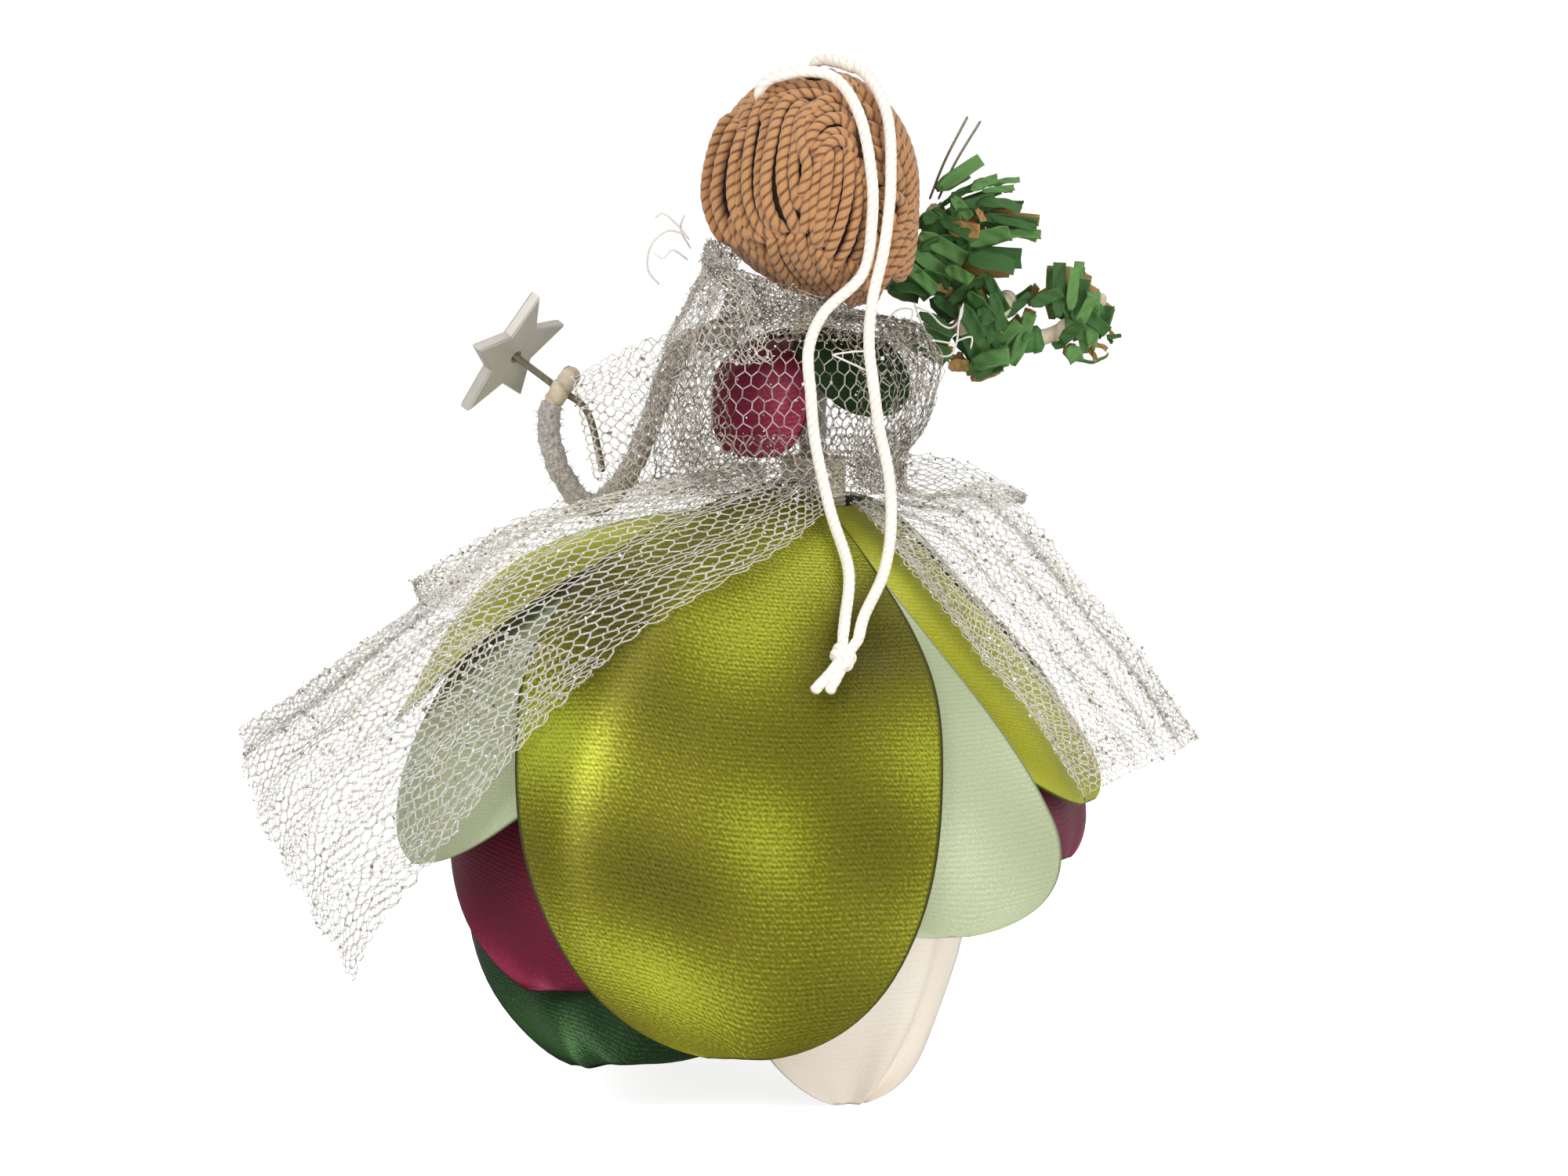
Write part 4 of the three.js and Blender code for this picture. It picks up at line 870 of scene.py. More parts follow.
def satin_ribbon(name, deep, body_colour, bright, seal, metal):
    """Woven satin ribbon: fine cross ribs 0.5 mm apart broken into short floats, a silky sheen that
    streaks across the ribs, and a hard dark line where the edge was melted."""
    sockets = {"Roughness": 0.47, "Metallic": metal, "Specular IOR Level": 0.35}
    sockets |= {"Anisotropic": 0.7, "Anisotropic Rotation": 0.25}
    sockets |= {"Sheen Weight": 0.06, "Sheen Roughness": 0.3, "Sheen Tint": linear(bright)}
    material, tree, shader = started(name, sockets)
    straight = put(tree, "Attribute", attribute_name="straight").outputs["Vector"]
    sealed = put(tree, "Attribute", attribute_name="tone").outputs["Fac"]
    laid = put(tree, "Mapping", {"Vector": straight, "Rotation": (0, 0, 0.12)})
    rib_wave = {"Scale": 0.628, "Distortion": 0.3, "Detail": 1.0, "Detail Scale": 2.0}
    ribs = put(tree, "TexWave", {"Vector": laid.outputs[0], **rib_wave}, bands_direction="Y")
    slant = put(tree, "Mapping", {"Vector": straight, "Rotation": (0, 0, 0.62)})
    float_wave = {"Vector": slant.outputs[0], "Scale": 0.75, "Distortion": 0.5, "Detail": 1.0}
    floats = put(tree, "TexWave", float_wave, bands_direction="X")
    glint = put(tree, "TexNoise", {"Vector": straight, "Scale": 3.2, "Detail": 1.0})
    cloudy = put(tree, "TexNoise", {"Vector": straight, "Scale": 0.06, "Detail": 0.0})
    woven = {0: floats.outputs["Fac"], 1: 0.5, 2: ribs.outputs["Fac"]}
    weave = put(tree, "Math", woven, operation="MULTIPLY_ADD")
    # The colour follows broad clouds most, then the glints, and the weave a little.
    mixed = put(tree, "Math", {0: cloudy.outputs["Fac"], 1: 0.8, 2: 0.065}, operation="MULTIPLY_ADD")
    for layer, weight in ((glint.outputs["Fac"], 0.4), (weave.outputs[0], 0.1)):
        mixed = put(tree, "Math", {0: layer, 1: weight, 2: mixed.outputs[0]}, operation="MULTIPLY_ADD")
    stops = [(0.5, deep), (0.75, body_colour), (1.0, bright)]
    shade = put(tree, "ValToRGB", {"Fac": mixed.outputs[0]}, stops)
    edge = put(tree, "MapRange", {"Value": sealed, "From Min": 0.25, "From Max": 0.75})
    melted = {"Factor": edge.outputs[0], mix_a: shade.outputs["Color"], mix_b: seal}
    edged = put(tree, "Mix", melted, data_type="RGBA")
    around = put(tree, "Tangent", direction_type="RADIAL", axis="Z")
    tree.links.new(around.outputs[0], shader.inputs["Tangent"])
    lift = put(tree, "Bump", {"Height": weave.outputs[0], "Strength": 0.14, "Distance": 0.0001})
    coated(tree, shader, edged.outputs[mixed_out], lift)
    return material


satins = {
    "chartreuse": satin_ribbon("chartreuse_satin", "#4b450a", "#777514", "#bcc63a", "#474a12", 0.5),
    "sage": satin_ribbon("sage_satin", "#a1ab87", "#b2bb97", "#ccd4b1", "#8a9775", 0.15),
    "burgundy": satin_ribbon("burgundy_satin", "#5c0f28", "#761935", "#a83557", "#3f0c1d", 0.4),
    "forest": satin_ribbon("forest_satin", "#122610", "#1d3a1a", "#456e3b", "#0c1a0a", 0.5),
    "cream": satin_ribbon("cream_satin", "#f1e5d3", "#f6ebdb", "#fcf4e7", "#dccfbc", 0.0),
}
# The two at the sides get a lighter copy of the chartreuse satin, painted light for the sheen they catch.
turned = satin_ribbon("turned_satin", "#8a8a18", "#aeb02c", "#d6d85a", "#5c5a1a", 0.3)
satins["chartreuse_left"] = satins["chartreuse_right"] = turned


def ridge(across, down, route, width, height):
    """A soft ridge along a route, a table of across at even shares of down: height times a bell of
    the distance from the route, as wide as width."""
    middle = read_table([(place, 0) for place in route], down)[..., 0]
    return height * np.exp(-(((across - middle) / width) ** 2))


def bell(across, down, place, size, height):
    """A round bulge at a place, or a dimple where height is negative: e to the minus square of the
    distance, counted in sizes."""
    off = ((across - place[0]) / size[0]) ** 2 + ((down - place[1]) / size[1]) ** 2
    return height * np.exp(-off)


def back_folds(across, down):
    """The top petal: a long ridge that falls from its neck to its left edge, a crease that winds
    down its right half, two soft bulges low down, and a pucker under the knot."""
    fade = np.clip(4 * down, 0, 1) * np.clip(4 * (1 - down), 0, 1)
    fold = ridge(across, down, [0.4, -0.2, -0.4, -0.6, -0.78, -0.9], 0.23, 0.95)
    crease = ridge(across, down, [0.5, 0.5, 0.42, 0.28, 0.02, -0.1], 0.24, -0.35)
    folds = fade * (fold + crease * np.clip(3 * (down - 0.42), 0, 1))
    right_bulge = bell(across, down, (0.5, 0.86), (0.35, 0.16), 0.5)
    middle_bulge = bell(across, down, (0.05, 0.85), (0.22, 0.12), 0.35)
    pucker = bell(across, down, (0.66, 0.42), (0.2, 0.035), -0.7)
    return folds + right_bulge + middle_bulge + pucker


def cream_folds(across, down):
    """A soft fold and a crease beside it run down the cream petal."""
    fold = ridge(across, down, [0.0, 0.25, 0.35, 0.3], 0.16, 0.8)
    return fold + ridge(across, down, [0.5, 0.6, 0.72, 0.6], 0.14, -0.9)


def side_folds(across, down):
    """A fold near the lower left hem of a side petal, where it's pushed in from below."""
    fold = ridge(across, down, [0.0, -0.2, -0.45, -0.55], 0.2, 0.7)
    return fold + ridge(across, down, [0.1, 0.05, -0.15, -0.3], 0.16, -0.4)


def side_rise(across, down):
    """The side petal stands off the others by half a sine of the way down, pushed up by what lies
    under it, and by the same all across."""
    return 1.6 * np.sin(np.pi * np.clip(down / 0.9, 0, 1))


def hem_curl(across, down):
    """A hem that rolls outward with the square of the last fifth of the way down, and most on the
    side where across is 1."""
    return 1.3 * np.clip((down - 0.78) / 0.22, 0, 1) ** 2 * (0.35 + 0.65 * np.clip(across + 0.2, 0, 1))


def cut_petal(name, node_name, form, numbers, more, colour):
    """One satin petal from the numbers of petal, among them the width it was cut to, in place of its CAD node."""
    part = petal(form, *numbers, **more)
    made = built(name, [part], satins.get(name.removeprefix("satin_"), satins[colour]))
    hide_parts(node_name)


# Each row gives a petal's node, colour, layer, cut width, share of the skirt's reach and of its
# drop, azimuth at the waist and at the hem, what else shapes it, and its cut area.
petals = [
    ("petal_cream_right", "cream", 0, 42, 0.58, 0.985, 28, 34, {"blunt": 1.75, "swell": cream_folds}, 1300),
    ("petal_forest_front", "forest", 0, 37, 0.62, 0.993, -130, -134, {}, 1450),
    ("petal_cream_front", "cream", 1, 37, 0.66, 0.993, 162, 164, {}, 1450),
    ("petal_forest_left", "forest", 1, 52, 0.79, 0.925, -42, -28,
        {"opening": -0.14, "blunt": 2.3, "swell": side_folds}, 1750),
    ("petal_olive_right", "sage", 2, 37, 0.86, 0.66, 84, 88, {}, 1120),
    ("petal_burgundy_left", "burgundy", 2, 42, 0.86, 0.84, -48, -41, {"opening": -0.08, "blunt": 1.9}, 1500),
    ("petal_burgundy_right", "burgundy", 3, 37, 0.94, 0.67, 56, 62, {}, 1100),
    ("petal_chartreuse_left", "chartreuse", 3, 37, 1.17, 0.53, -93, -92, {"swell": side_rise}, 1000),
    ("petal_burgundy_front", "burgundy", 3, 37, 0.88, 0.9, 172, 176, {}, 1500),
    ("petal_chartreuse_right", "chartreuse", 4, 37, 1.01, 0.6, 52, 67, {}, 1100),
    ("petal_forest_side", "forest", 4, 31, 1.03, 0.44, -46, -54, {"neck": 2}, 860),
    ("petal_chartreuse_front", "chartreuse", 4, 37, 1, 0.84, -160, -162, {}, 1500),
    ("petal_sage_left", "sage", 5, 37, 1.02, 0.69, -33, -65,
        {"widest": 0.68, "neck": 2.2, "opening": 0.025}, 1200),
    ("petal_sage_front", "sage", 5, 42, 1, 0.76, 144, 142, {}, 1500),
    ("petal_sage_right", "sage", 6, 34, 1.01, 0.745, -12, 27,
        {"widest": 0.83, "neck": 1.5, "blunt": 1.9, "swell": hem_curl}, 1300),
    ("petal_chartreuse_back", "chartreuse", 7, 44, 1.02, 0.875, -19, -2,
        {"blunt": 2.2, "neck": 1.5, "widest": 0.54, "swell": back_folds}, 1850),
]
for name, colour, *numbers, more, area in petals:
    cut_petal(name.replace("petal", "satin"), name, skirt, numbers, more, colour)

# The bodice: four small petals of the same satin, gathered and tied under the neck winding. The
# shawl hides most of them.
torso = [(0, 0), (0.04, 0.45), (0.14, 0.82), (0.3, 0.98), (0.5, 1), (0.75, 0.95), (1, 0.9)]
bodice = dict(top=72.15, drop=20, root=2.5, reach=8, sway=0, flute=0, flutes=0, right=torso, left=torso)
for name, colour, layer, width, drop_share, start, end, blunt, area in (
    ("bodice_burgundy", "burgundy", 0, 13, 0.7, -41, -34, 3.6, 190),
    ("bodice_forest", "forest", 1, 12, 0.55, 22, 32, 2.6, 130),
    ("bodice_sage", "sage", 0, 11, 0.5, 171, 171, 2.1, 120),
    ("bodice_chartreuse", "chartreuse", 1, 11, 0.52, -168, -168, 2.1, 120),
):
    numbers = (layer, width, 1, drop_share, start, end)
    cut_petal("satin_" + name, name, bodice, numbers, {"blunt": blunt}, colour)

# The net: stiff hexagonal tulle knitted from flat metallised film, with glitter stuck on it. Each
# piece is cut from one ribbon. Two halves lie over the shoulders as a shawl.
sockets = {"Roughness": 0.35, "Specular IOR Level": 0.8, "Transmission Weight": 0.35, "IOR": 1.4, "Alpha": 0.55}
net, tree, shader = started("glitter_tulle", sockets)
tone = put(tree, "Attribute", attribute_name="tone").outputs["Fac"]
# A thread's tone picks its colour: painted shade in dark brown at 0, the film's pale beige at 0.5, painted
# light in white at 1.
shade = put(tree, "ValToRGB", {"Fac": tone}, [(0.0, "#625440"), (0.5, "#efe5d5"), (1.0, "#ffffff")])
coated(tree, shader, shade.outputs["Color"])
glitter_parts = []


def netting(place, width, length, seed, pitch=1.0, thread=0.12, flecks=0.5, bright=0.55):
    """Hexagonal net over a surface. place(down, across) gives the surface at shares of the cut's
    length and width. Knots lie in rows 0.8 of the pitch apart, up and down by turns. Threads join
    the knots of a row in a zigzag, and every second knot to the row below. Each thread is a flat
    four-sided strip. Flecks of glitter are small square plates at random knots and tilts."""
    row_pitch, knot_pitch, zigzag, film_half, fleck_half = 0.8 * pitch, 0.5 * pitch, 0.19 * pitch, 0.05, 0.02
    chance = np.random.default_rng(seed)
    rows, columns = int(length / row_pitch) + 1, int(width / knot_pitch) + 1
    row, column = np.mgrid[0:rows, 0:columns]
    low_knot = (row + column) % 2 == 0
    down = row * row_pitch + np.where(low_knot, zigzag, -zigzag)
    down = down + chance.normal(0, 0.05 * pitch, down.shape)
    across = column * knot_pitch + chance.normal(0, 0.05 * pitch, down.shape)
    knots = place(np.clip(down / length, 0, 1), np.clip(across / width, 0, 1))
    knots = knots + chance.normal(0, 0.05, knots.shape)
    normal = unit(np.cross(np.gradient(knots, axis=0), np.gradient(knots, axis=1)))
    number = row * columns + column
    along_row = np.stack([number[:, :-1].ravel(), number[:, 1:].ravel()], -1)
    downward = np.stack([number[:-1][low_knot[:-1]], number[1:][low_knot[:-1]]], -1)
    pairs = np.concatenate([along_row, downward])
    flat_knots, flat_normal = knots.reshape(-1, 3), normal.reshape(-1, 3)
    ends = flat_knots[pairs]
    over = unit(flat_normal[pairs].mean(1))
    side = unit(np.cross(over, ends[:, 1] - ends[:, 0]))
    section = thread / 2 * corner_side * side[:, None] + film_half * corner_over * over[:, None]
    strips = ends[:, :, None] + section[:, None]
    # Each thread's tone scatters about bright, a painted level of light set for each layer: low for shade, high
    # for light.
    shades = np.clip(chance.normal(bright, 0.2, len(strips)), 0, 1)[:, None, None] + np.zeros((1, 2, 4))
    count = int(flecks * number.size)
    spots = chance.integers(0, number.size, count)
    centre = flat_knots[spots] + chance.normal(0, 0.15, (count, 3))
    tilt = unit(flat_normal[spots] + chance.normal(0, 0.55, (count, 3)))
    first = unit(np.cross(tilt, chance.normal(0, 1, (count, 3))))
    size = (0.07 + 0.18 * chance.random(count) ** 3)[:, None, None]
    plate = size * (corner_side * first[:, None] + corner_over * np.cross(tilt, first)[:, None])
    faces = np.array([-fleck_half, fleck_half])[:, None, None] * tilt[:, None, None]
    plates = centre[:, None, None] + plate[:, None] + faces
    # Each fleck's painted glint, from dark to white.
    shine = chance.choice([0.0, 0.35, 0.7, 1.0], count, p=[0.12, 0.2, 0.24, 0.44])
    glitter_parts.append((plates, plates, shine[:, None, None] + np.zeros((1, 2, 4))))
    return strips, strips, shades


def netted(name, node_name, parts, flat):
    """A piece of net that stands for a CAD sheet. Its argument flat, the size it was cut to, is not used."""
    made = built(name, parts, net)
    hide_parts(node_name)


def shawl_half(start, end, top, crumple):
    """Half of the shawl: a profile of [height, radius] carried round the body from one azimuth to
    the other, higher at the neck on the left, with gathers that fade towards the bottom."""
    profile = [
        (77.4, 9.2), (75.6, 7.9), (74.2, 8.4), (73.2, 10.4), (71.2, 12.5), (68.2, 13.6), (65, 13.5),
        (61.8, 12.7), (59.6, 12.4), (57.6, 13.2),
    ]
    shown = 0.93 if end > 100 else 1.0

    def place(down, across):
        azimuth = np.radians(start + (end - start) * across)
        height, radius = np.moveaxis(read_table(profile, down * shown), -1, 0)
        to_right, near_top = np.sin(azimuth), np.clip(1 - down / 0.25, 0, 1)
        height = height + near_top * (top - 1.3 - 3.2 * to_right)
        radius = radius - down * (0.3 + 3.4 * to_right)
        radius = radius + 1.5 * np.maximum(to_right, 0) * np.sin(np.pi * np.clip(down / 0.8, 0, 1))
        radius = radius + near_top * (0.5 - 0.9 * to_right)
        radius = radius + crumple * np.sin(11 * azimuth + 3 * down) * (1 - 0.5 * down)
        radius = radius + 0.18 * np.sin(23 * azimuth - 9 * down) + 0.15 * np.sin(31 * down + 4 * azimuth)
        return np.stack([radius * to_right, -radius * np.cos(azimuth), height], -1)

    return place


def shifted(place, amount):
    """The same surface a little further from the body's axis, for a second layer of net."""
    shawl_radius = 13

    def moved(down, across):
        nearer = 1 - amount / shawl_radius
        return place(down, across) * (nearer, nearer, 1)

    return moved


def within(place, top, bottom, left, right):
    """A part of a sheet, between shares of its length and of its width, for one more fold of net."""
    return lambda down, across: place(top + (bottom - top) * down, left + (right - left) * across)


back_span, shawl_wide, shawl_long = (-78, 78), 38, 24
# The shawl's threads get a light painted shade, and the folds that lie with it a deeper one.
back_layers = [netting(shawl_half(*back_span, 0.0, 0.3), shawl_wide, shawl_long, 11, 1.3, 0.13, bright=0.45)]
# More folds lie over it, each between shares of its length and of its width.
more_folds = [
    (0, 1, 0, 0.3), (0, 0.4, 0.1, 0.95), (0.1, 1, 0.62, 1), (0.72, 1, 0.1, 0.9), (0.2, 1, 0.82, 1),
    (0, 0.8, 0, 0.16),
]
for i, (top, bottom, left, right) in enumerate(more_folds):
    fold = shifted(within(shawl_half(*back_span, 0.4 * i, 0.6), top, bottom, left, right), 0.3 * i - 0.4)
    wide, long = shawl_wide * (right - left), shawl_long * (bottom - top)
    back_layers.append(netting(fold, wide, long, 27 + i, 0.9, 0.14, bright=0.2))
netted("shawl_back", "net_shawl_back", back_layers, (0.038, 0.064))
front = shawl_half(116, 244, 0.0, 0.4)
# The front half, seen through the back, gets a deep painted shade.
front_layers = [
    netting(front, 32, 22, 13, thread=0.17, bright=0.15),
    netting(shifted(front, 0.5), 31, 21, 14, bright=0.2),
]
netted("shawl_front", "net_shawl_front", front_layers, (0.032, 0.044))

# A corner of the ribbon stands up as a collar round the left of the hair: two layers of net, held
# up by their own stiffness.
collar_profile = [(0, 0.0), (0.2, 0.0), (0.4, 0.06), (0.6, 0.28), (0.8, 0.55), (1, 0.7)]
collar = dict(
    top=85, drop=15, root=10.1, reach=6.6, sway=0, flute=0.5, flutes=13,
    right=collar_profile, left=collar_profile,
)


def between(form, first_edge, second_edge, lifting=None, **drape_values):
    """A sheet of a form between two edges, each a table of [share of the drop, azimuth, lift]."""

    def place(down, across):
        first, second = read_table(first_edge, down), read_table(second_edge, down)
        row = first + (second - first) * across[..., None]
        lift = lifting(first, second, across) if lifting else 0.0
        pleat = 0.28 * np.sin(2 * np.pi * (5 * across + 0.4 * down)) + 0.12 * np.sin(19 * down + 7 * across)
        values = dict(drape_values)
        values["stand"] = values.get("stand", 0.0) + pleat
        return drape(form, np.maximum(row[..., 0], 0.0), row[..., 1], lift=lift, **values)

    return place


collar_back = [(0.24, -140), (0.4, -138), (0.6, -136), (0.95, -134)]
collar_side = [(0.26, -62), (0.42, -40), (0.64, -24), (1, -14)]
sheet = between(collar, collar_back, collar_side)
collar_layers = [netting(sheet, 24, 14, 15), netting(sheet, 23, 13.5, 16, pitch=0.8, thread=0.15)]
netted("net_collar_corner", "net_collar", collar_layers, (0.024, 0.028))

# The ribbon's two tails leave the waist as wings. Their upper edges are folded over, so they show
# a denser band there, and the left one's far end lies double.
wing_left = between(
    skirt,
    [(0.02, -60, 0), (0.2, -80, 0.25), (0.33, -86, 0.2), (0.45, -88, 0.45), (0.56, -88, 0.82)],
    [(0.02, 16, 0), (0.19, 0, 0), (0.38, -28, 0), (0.62, -45, 0), (0.84, -73, 0.1)],
    lambda first, second, across: 16 * np.maximum((first + (second - first) * across[..., None])[..., 2], 0),
    reach_share=1.02,
    stand=8.6 * layer_pitch,
)


def spread_flat(place, edge, amount):
    """The same sheet turned to face the viewer: the depth of each point is drawn towards the depth
    of the sheet's own edge at that height, by a share that grows with the way from that edge."""

    def moved(down, across):
        points, held = place(down, across), place(down, edge + 0 * across)
        points[..., 1] += amount * np.abs(across - edge) * (held[..., 1] - points[..., 1])
        return points

    return moved


wing_left = spread_flat(wing_left, 1, 0.7)
# These threads carry painted light, so they read pale over the white.
left_layers = [
    netting(wing_left, 34, 54, 17, pitch=1.15, thread=0.2, bright=0.75),
    netting(within(wing_left, 0, 1, 0, 0.14), 5, 54, 19, pitch=1.2, bright=0.8),
    netting(within(wing_left, 0.54, 1, 0, 1), 34, 25, 28, thread=0.16, bright=0.75),
]
netted("wing_left", "net_wing_left", left_layers, (0.034, 0.108))

wing_right = between(
    skirt,
    [(0.03, 32, 0), (0.2, 38, 0), (0.35, 45, 0), (0.48, 53, 0), (0.6, 60, 0)],
    [(0.04, 66, 0.2), (0.155, 86, 0.56), (0.29, 90, 0.67), (0.42, 92, 0.72), (0.52, 92, 0.79)],
    lambda first, second, across: 12 * np.maximum(second[..., 2], 0) * across,
    stand=5.5 * layer_pitch,
)


def fanned(place, height):
    """The same sheet raised by height times the square of across. That fades to nothing at its far
    end, and to 0.3 of it at the waist."""

    def moved(down, across):
        points = place(down, across)
        points[..., 2] += height * across**2 * (1 - down) * np.clip(5 * down, 0.3, 1)
        return points

    return moved


wing_right = fanned(spread_flat(wing_right, 0, 0.75), 7.0)
# These threads carry painted light, so they read pale over the white.
right_layers = [
    netting(wing_right, 30, 40, 20, bright=0.75),
    netting(within(wing_right, 0, 0.98, 0.02, 0.98), 29, 39, 21, pitch=1.06, bright=0.75),
    netting(within(wing_right, 0, 1, 1, 0.84), 5, 40, 22, pitch=0.9, bright=0.75),
]
netted("wing_right", "net_wing_right", right_layers, (0.03, 0.08))


# The bow's two loops: the ribbon runs out from the waist, turns and comes back, creased lengthwise.
# Both its ends are bound in at the waist.
def bow_loop(start, end, widths, depth, creases, crease):
    """A loop between two points: down runs once round it, and across lies over its width, a table
    of millimetres at even shares of the way out, with creases that zigzag between its edges."""
    start, end = np.array(start), np.array(end)
    span = end - start
    up = unit(np.array([-span[2], 0, span[0]]))

    def place(down, across):
        turn = 2 * np.pi * (0.06 + 0.88 * down)
        out = (1 - np.cos(turn)) / 2
        bulge = np.sin(turn) * np.sin(turn / 2) * depth / 2
        zigzag = crease * (2 * np.abs((creases * across) % 1 - 0.5) * 2 - 1) * (0.3 + 0.7 * out)
        half = read_table([(width, 0) for width in widths], out)[..., 0] / 2
        points = start + out[..., None] * span + (half * (2 * across - 1))[..., None] * up
        return points - (bulge + zigzag)[..., None] * towards_front

    return place


left_loop = bow_loop((-3.6, 3.0, 59.32), (-39.1, 10.8, 46.0), (2, 6.5, 8, 3.5), 4.5, 2, 0.4)
right_loop = bow_loop((3.6, -0.4, 59.32), (20.6, 1.8, 56.4), (2, 5, 4.6, 0.8), 4.5, 2.5, 0.6)
for name, loop, wide, long, seed in (
    ("bow_left", left_loop, 11, 70, 23),
    ("bow_right", right_loop, 10, 34, 24),
):
    # The bow's threads carry painted light, so they read pale over the white.
    layers, flat = [netting(loop, wide, long, seed, bright=0.75)], (wide * 0.001, long * 0.001)
    netted(name, "net_" + name, layers, flat)


# A fold of the shawl, two layers of net, reaches along the left arm to the hand and rests on the
# felted sleeve.
def sleeve_fold(down, across):
    """A sheet between an upper and a lower line along the arm, rippled towards the viewer."""
    upper = read_table([(-0.4, -0.32, 0.12), (-0.7, -0.24, 0.04), (-0.97, -0.13, -0.11)], down)
    lower = read_table([(-0.4, -0.34, -0.54), (-0.66, -0.26, -0.58), (-0.88, -0.16, -0.52)], down)
    points = (upper + (lower - upper) * across[..., None]) * reach + shoulders
    ripple = 0.3 * np.sin(9 * across + 5 * down) + 0.2 * np.sin(17 * down)
    return points + ripple[..., None] * towards_front


sleeve_layers = [netting(sleeve_fold, 14.5, 14, 25, pitch=1.15), netting(sleeve_fold, 14, 13.5, 26, pitch=1.2)]
netted("sleeve_net", "net_sleeve_left", sleeve_layers, (0.0145, 0.028))

# Loose ends of film where the ribbon was cut: thicker threads that stray over the leaves and stand
# up beside the hair.
sockets = {"Roughness": 0.35, "Metallic": 0.1, "Specular IOR Level": 0.7}
film, tree, shader = started("loose_film_thread", sockets)
place = put(tree, "TexCoord").outputs["Object"]
patchy = put(tree, "TexNoise", {"Vector": place, "Scale": 900.0, "Detail": 1.0})
pale = {"Factor": patchy.outputs["Fac"], mix_a: "#cfc7ba", mix_b: "#f3efe8"}
shade = put(tree, "Mix", pale, data_type="RGBA")
coated(tree, shader, shade.outputs[mixed_out])
sketch_step = 0.0297
sketch_corner = (3.4, 95.4)


def on_sketch(rows, depth):
    """Places on a sketch of the wreath from behind, in steps of 0.03 mm from its upper left corner,
    at a depth from the body's axis."""
    rows = np.asarray(rows, float)
    x, z = sketch_corner[0] + sketch_step * rows[:, 0], sketch_corner[1] - sketch_step * rows[:, 1]
    return np.stack([x, depth + 0 * x, z], -1)


strays = [
    on_sketch([(120, 725), (160, 690), (205, 690), (195, 745), (190, 800)], -4.0),
    on_sketch([
        (212, 668), (230, 720), (250, 765), (272, 812), (300, 842), (332, 838), (350, 798), (356, 740),
        (366, 682),
    ], -2.0),
    on_sketch([(215, 682), (262, 702), (300, 740), (332, 752), (362, 722), (372, 670)], -1.6),
    on_sketch([(396, 822), (400, 782), (362, 790), (344, 800)], -1.4),
    on_sketch([(128, 722), (132, 792), (192, 802), (262, 790), (345, 802)], -3.4),
    on_sketch([(60, 735), (110, 720), (140, 760), (200, 830), (260, 860)], -5.0),
    [(1.7, -13.4, 71.0), (3.5, -13.6, 70.2), (5.4, -13.4, 69.3)],
    [(1.7, -13.4, 71.0), (3.9, -13.4, 71.3), (5.5, -13.0, 71.3)],
    [(-11.9, -1.0, 81.5), (-13.3, -1.4, 83.2), (-14.6, -1.6, 84.1), (-15.2, -1.5, 83.6)],
    [(-12.0, -2.0, 79.6), (-13.6, -2.8, 80.6), (-14.4, -2.8, 79.8), (-15.3, -2.6, 80.3)],
    [(-11.8, 0.5, 80.6), (-12.8, 0.2, 82.6), (-12.4, 0.1, 84.0)],
    [(-12.2, -1.0, 82.0), (-14.0, -1.2, 82.4), (-15.6, -1.0, 81.0), (-15.9, -0.8, 78.6), (-14.8, -0.8, 77.2)],
]
stray_lean, stray_size, stray_sides = np.array([0.3, 0.2, 0.9]), 0.2, 8
stray_parts = [rod(drawn(points, 0.3), stray_lean, stray_size, stray_sides) for points in strays]
built("stray_threads", stray_parts, film)

# The glitter itself: square flecks of aluminised polyester film, stuck to the net's threads. Their colour is
# painted glint: most are painted bright, and some dark.
flecks, tree, shader = started("polyester_glitter", {"Roughness": 0.25, "Metallic": 0.4})
tone = put(tree, "Attribute", attribute_name="tone").outputs["Fac"]
stops = [(0.0, "#8a837a"), (0.4, "#a39b8c"), (0.75, "#dfd9cc"), (1.0, "#ffffff")]
shade = put(tree, "ValToRGB", {"Fac": tone}, stops)
coated(tree, shader, shade.outputs["Color"])
built("glitter_flecks", glitter_parts, flecks)

# The wand: the same wire, through the curled left hand, with a stamped metal star on its far end.
# It rides on its own body, because it turns in the grip.
wand_axis = np.array([0.8, 0, -0.6])
star_place = wand_grip - 6 * wand_axis
elbow = wand_grip + 3 * wand_axis
tail_end = elbow + 6.5 * np.array([0.27, 0, -0.96])
route = drawn([star_place - 1.2 * wand_axis, star_place, wand_grip, elbow, tail_end], 0.2)
wand = built("wand_stem", [rod(route, towards_front, 0.7, 16)], wire, "wand")
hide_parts("wand_wire")

pewter, tree, shader = started("pewter_paint", {"Roughness": 0.5, "Metallic": 0.35})
place = put(tree, "TexCoord").outputs["Object"]
mottle = put(tree, "TexNoise", {"Vector": place, "Scale": 500.0, "Detail": 4.0})
speck = put(tree, "TexNoise", {"Vector": place, "Scale": 5200.0, "Detail": 2.0})
greys = {"Factor": mottle.outputs["Fac"], mix_a: "#b4b1a8", mix_b: "#cfccc4"}
shade = put(tree, "Mix", greys, data_type="RGBA")
# The rim, where pointiness is high, is mixed towards a darker grey.
raised = put(tree, "NewGeometry").outputs["Pointiness"]
rim = put(tree, "MapRange", {"Value": raised, "From Min": 0.52, "From Max": 0.6, "To Max": 0.8})
rim_darkened = {"Factor": rim.outputs[0], mix_a: shade.outputs[mixed_out], mix_b: "#b5afa5"}
shade = put(tree, "Mix", rim_darkened, data_type="RGBA")
lift = put(tree, "Bump", {"Height": speck.outputs["Fac"], "Strength": 0.25, "Distance": 0.00005})
coated(tree, shader, shade.outputs[mixed_out], lift)
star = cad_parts["star"]
star.data.materials.clear()
star.data.materials.append(pewter)

